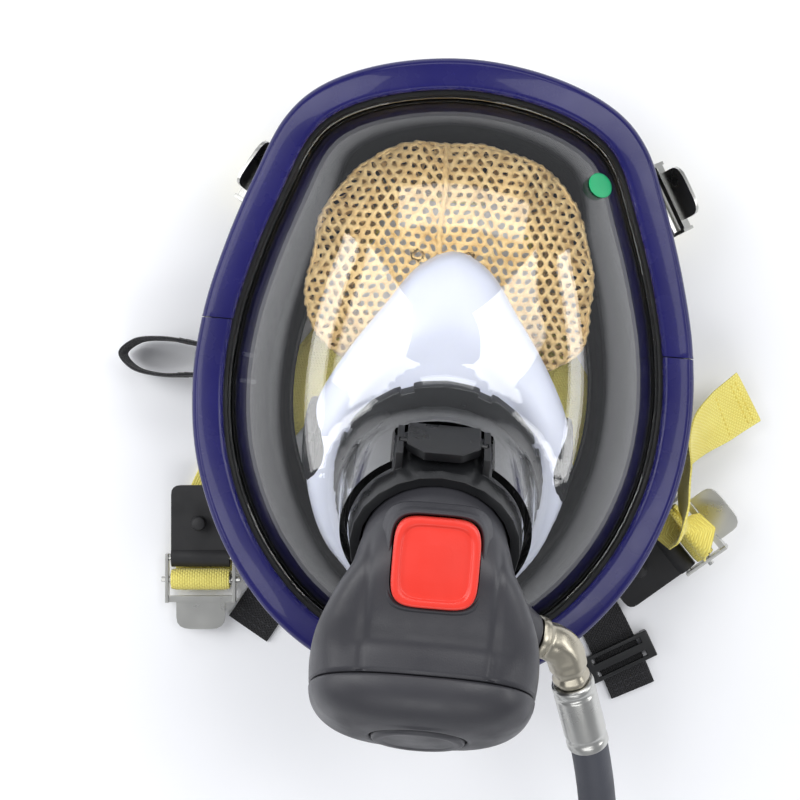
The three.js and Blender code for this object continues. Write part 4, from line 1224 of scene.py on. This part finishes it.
def head_net():
    """Knitted net as rings round staggered holes, joined edge to edge."""
    points, faces = [], []
    row_step = NET_PITCH * sqrt(3) / 2
    corner = NET_PITCH / sqrt(3)
    spot = lambda degrees, reach: np.array([cos(radians(degrees)), sin(radians(degrees))]) * reach
    corners = [spot(30 + 60 * k, corner) for k in range(7)]
    outer = [p for a, b in zip(corners, corners[1:]) for p in (a, (a + b) / 2)]
    inner = [spot(30 + 30 * k, NET_HOLE) for k in range(12)]
    rows = int(120 / row_step)
    for r in range(-rows, rows + 1):
        for c in range(-32, 33):
            middle = np.array([(c + 0.5 * (r % 2)) * NET_PITCH, r * row_step])
            if not net_reaches_end(*middle):
                continue
            first = len(points)
            points += [middle + p for p in outer] + [middle + p for p in inner]
            for k in range(12):
                q = (k + 1) % 12
                faces.append((first + k, first + q, first + 12 + q, first + 12 + k))
    flat = np.array(points)
    made = piece("head_net_cloth", net_fold(flat), faces, tan_net, sharp=80)
    modified(made, "weld", "WELD", merge_threshold=0.0001)
    solidified(made, 0.7, even=False)
    apply_modifiers(made)
    a, b, c, d = (flat[np.array(faces)[:, k]] for k in range(4))
    cross = lambda u, v: u[:, 0] * v[:, 1] - u[:, 1] * v[:, 0]
    area = float(np.abs(cross(c - a, d - b)).sum() / 2) * MM * MM
    return made, area, float(np.ptp(flat[:, 0]) * MM), float(np.ptp(flat[:, 1]) * MM)


net, net_area, net_width, net_length = head_net()
fitted(net, "mask", "tan_net", "head_net")


def net_line(gone, angles):
    """A line on the net at one distance from its middle."""
    return net_fold(circle(gone * net_at(angles, net_reach) / NET_REACH, angles, 0))


brim = net_line(62, full_turn(180))
binding_rings = []
for i, centre in enumerate(brim):
    side = unit(np.cross(unit(brim[(i + 1) % len(brim)] - brim[i - 1]), [0, 0, 1]))
    a = full_turn(12)
    binding_rings.append(centre + np.outer(np.cos(a) * 0.9, side)
                         + np.outer(np.sin(a) * 1.7, [0, 0, 1]))
binding = lofted("net_binding", binding_rings, tan_net, closed=True)
fitted(binding, "mask", "tan_net")
seam_flat = np.column_stack([np.full(60, -6.0), np.linspace(-44, 52, 60)])
seam = swept("net_seam", net_fold(seam_flat) + np.array([0, 0, 0.6]), [1.1] * 60, tan_net,
             sides=10)
fitted(seam, "mask", "tan_net")

# ---- visor's sticker
STICKER = (53, 78)
STICKER_R = 5
STICKER_LIFT = 0.35


def on_dome(x, y):
    """A point on the visor's outside, stood off along its normal."""
    z, step = float(dome_height(x, y)), 0.5
    slope_x = float(dome_height(x + step, y) - dome_height(x - step, y)) / (2 * step)
    slope_y = float(dome_height(x, y + step) - dome_height(x, y - step)) / (2 * step)
    normal = np.array([-slope_x, -slope_y, 1])
    return np.array([x, y, z]) + unit(normal) * STICKER_LIFT


sticker_points = [
    on_dome(STICKER[0] + STICKER_R * r / 8 * cos(k / 48 * TAU),
            STICKER[1] + STICKER_R * r / 8 * sin(k / 48 * TAU))
    for r in range(9) for k in range(48)]
sticker = piece("round_sticker", sticker_points, grid_faces(9, 48, caps=False), green_film)
solidified(sticker, 0.15)
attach(sticker, "mask")

# ---- floor
FLOOR_HALF = 3
FLOOR_Z = -0.0003
floor_mesh = bpy.data.meshes.new("floor")
floor_mesh.from_pydata([(a * FLOOR_HALF, b * FLOOR_HALF, FLOOR_Z) for a, b in SQUARE], [],
                       [(0, 1, 2, 3)])
floor_mesh.materials.append(surface("floor_pale", (249, 250, 253), (0.5, 0.6), 30, 0.00001,
                                    vary=0.01))
floor = bpy.data.objects.new("floor", floor_mesh)
scene.collection.objects.link(floor)
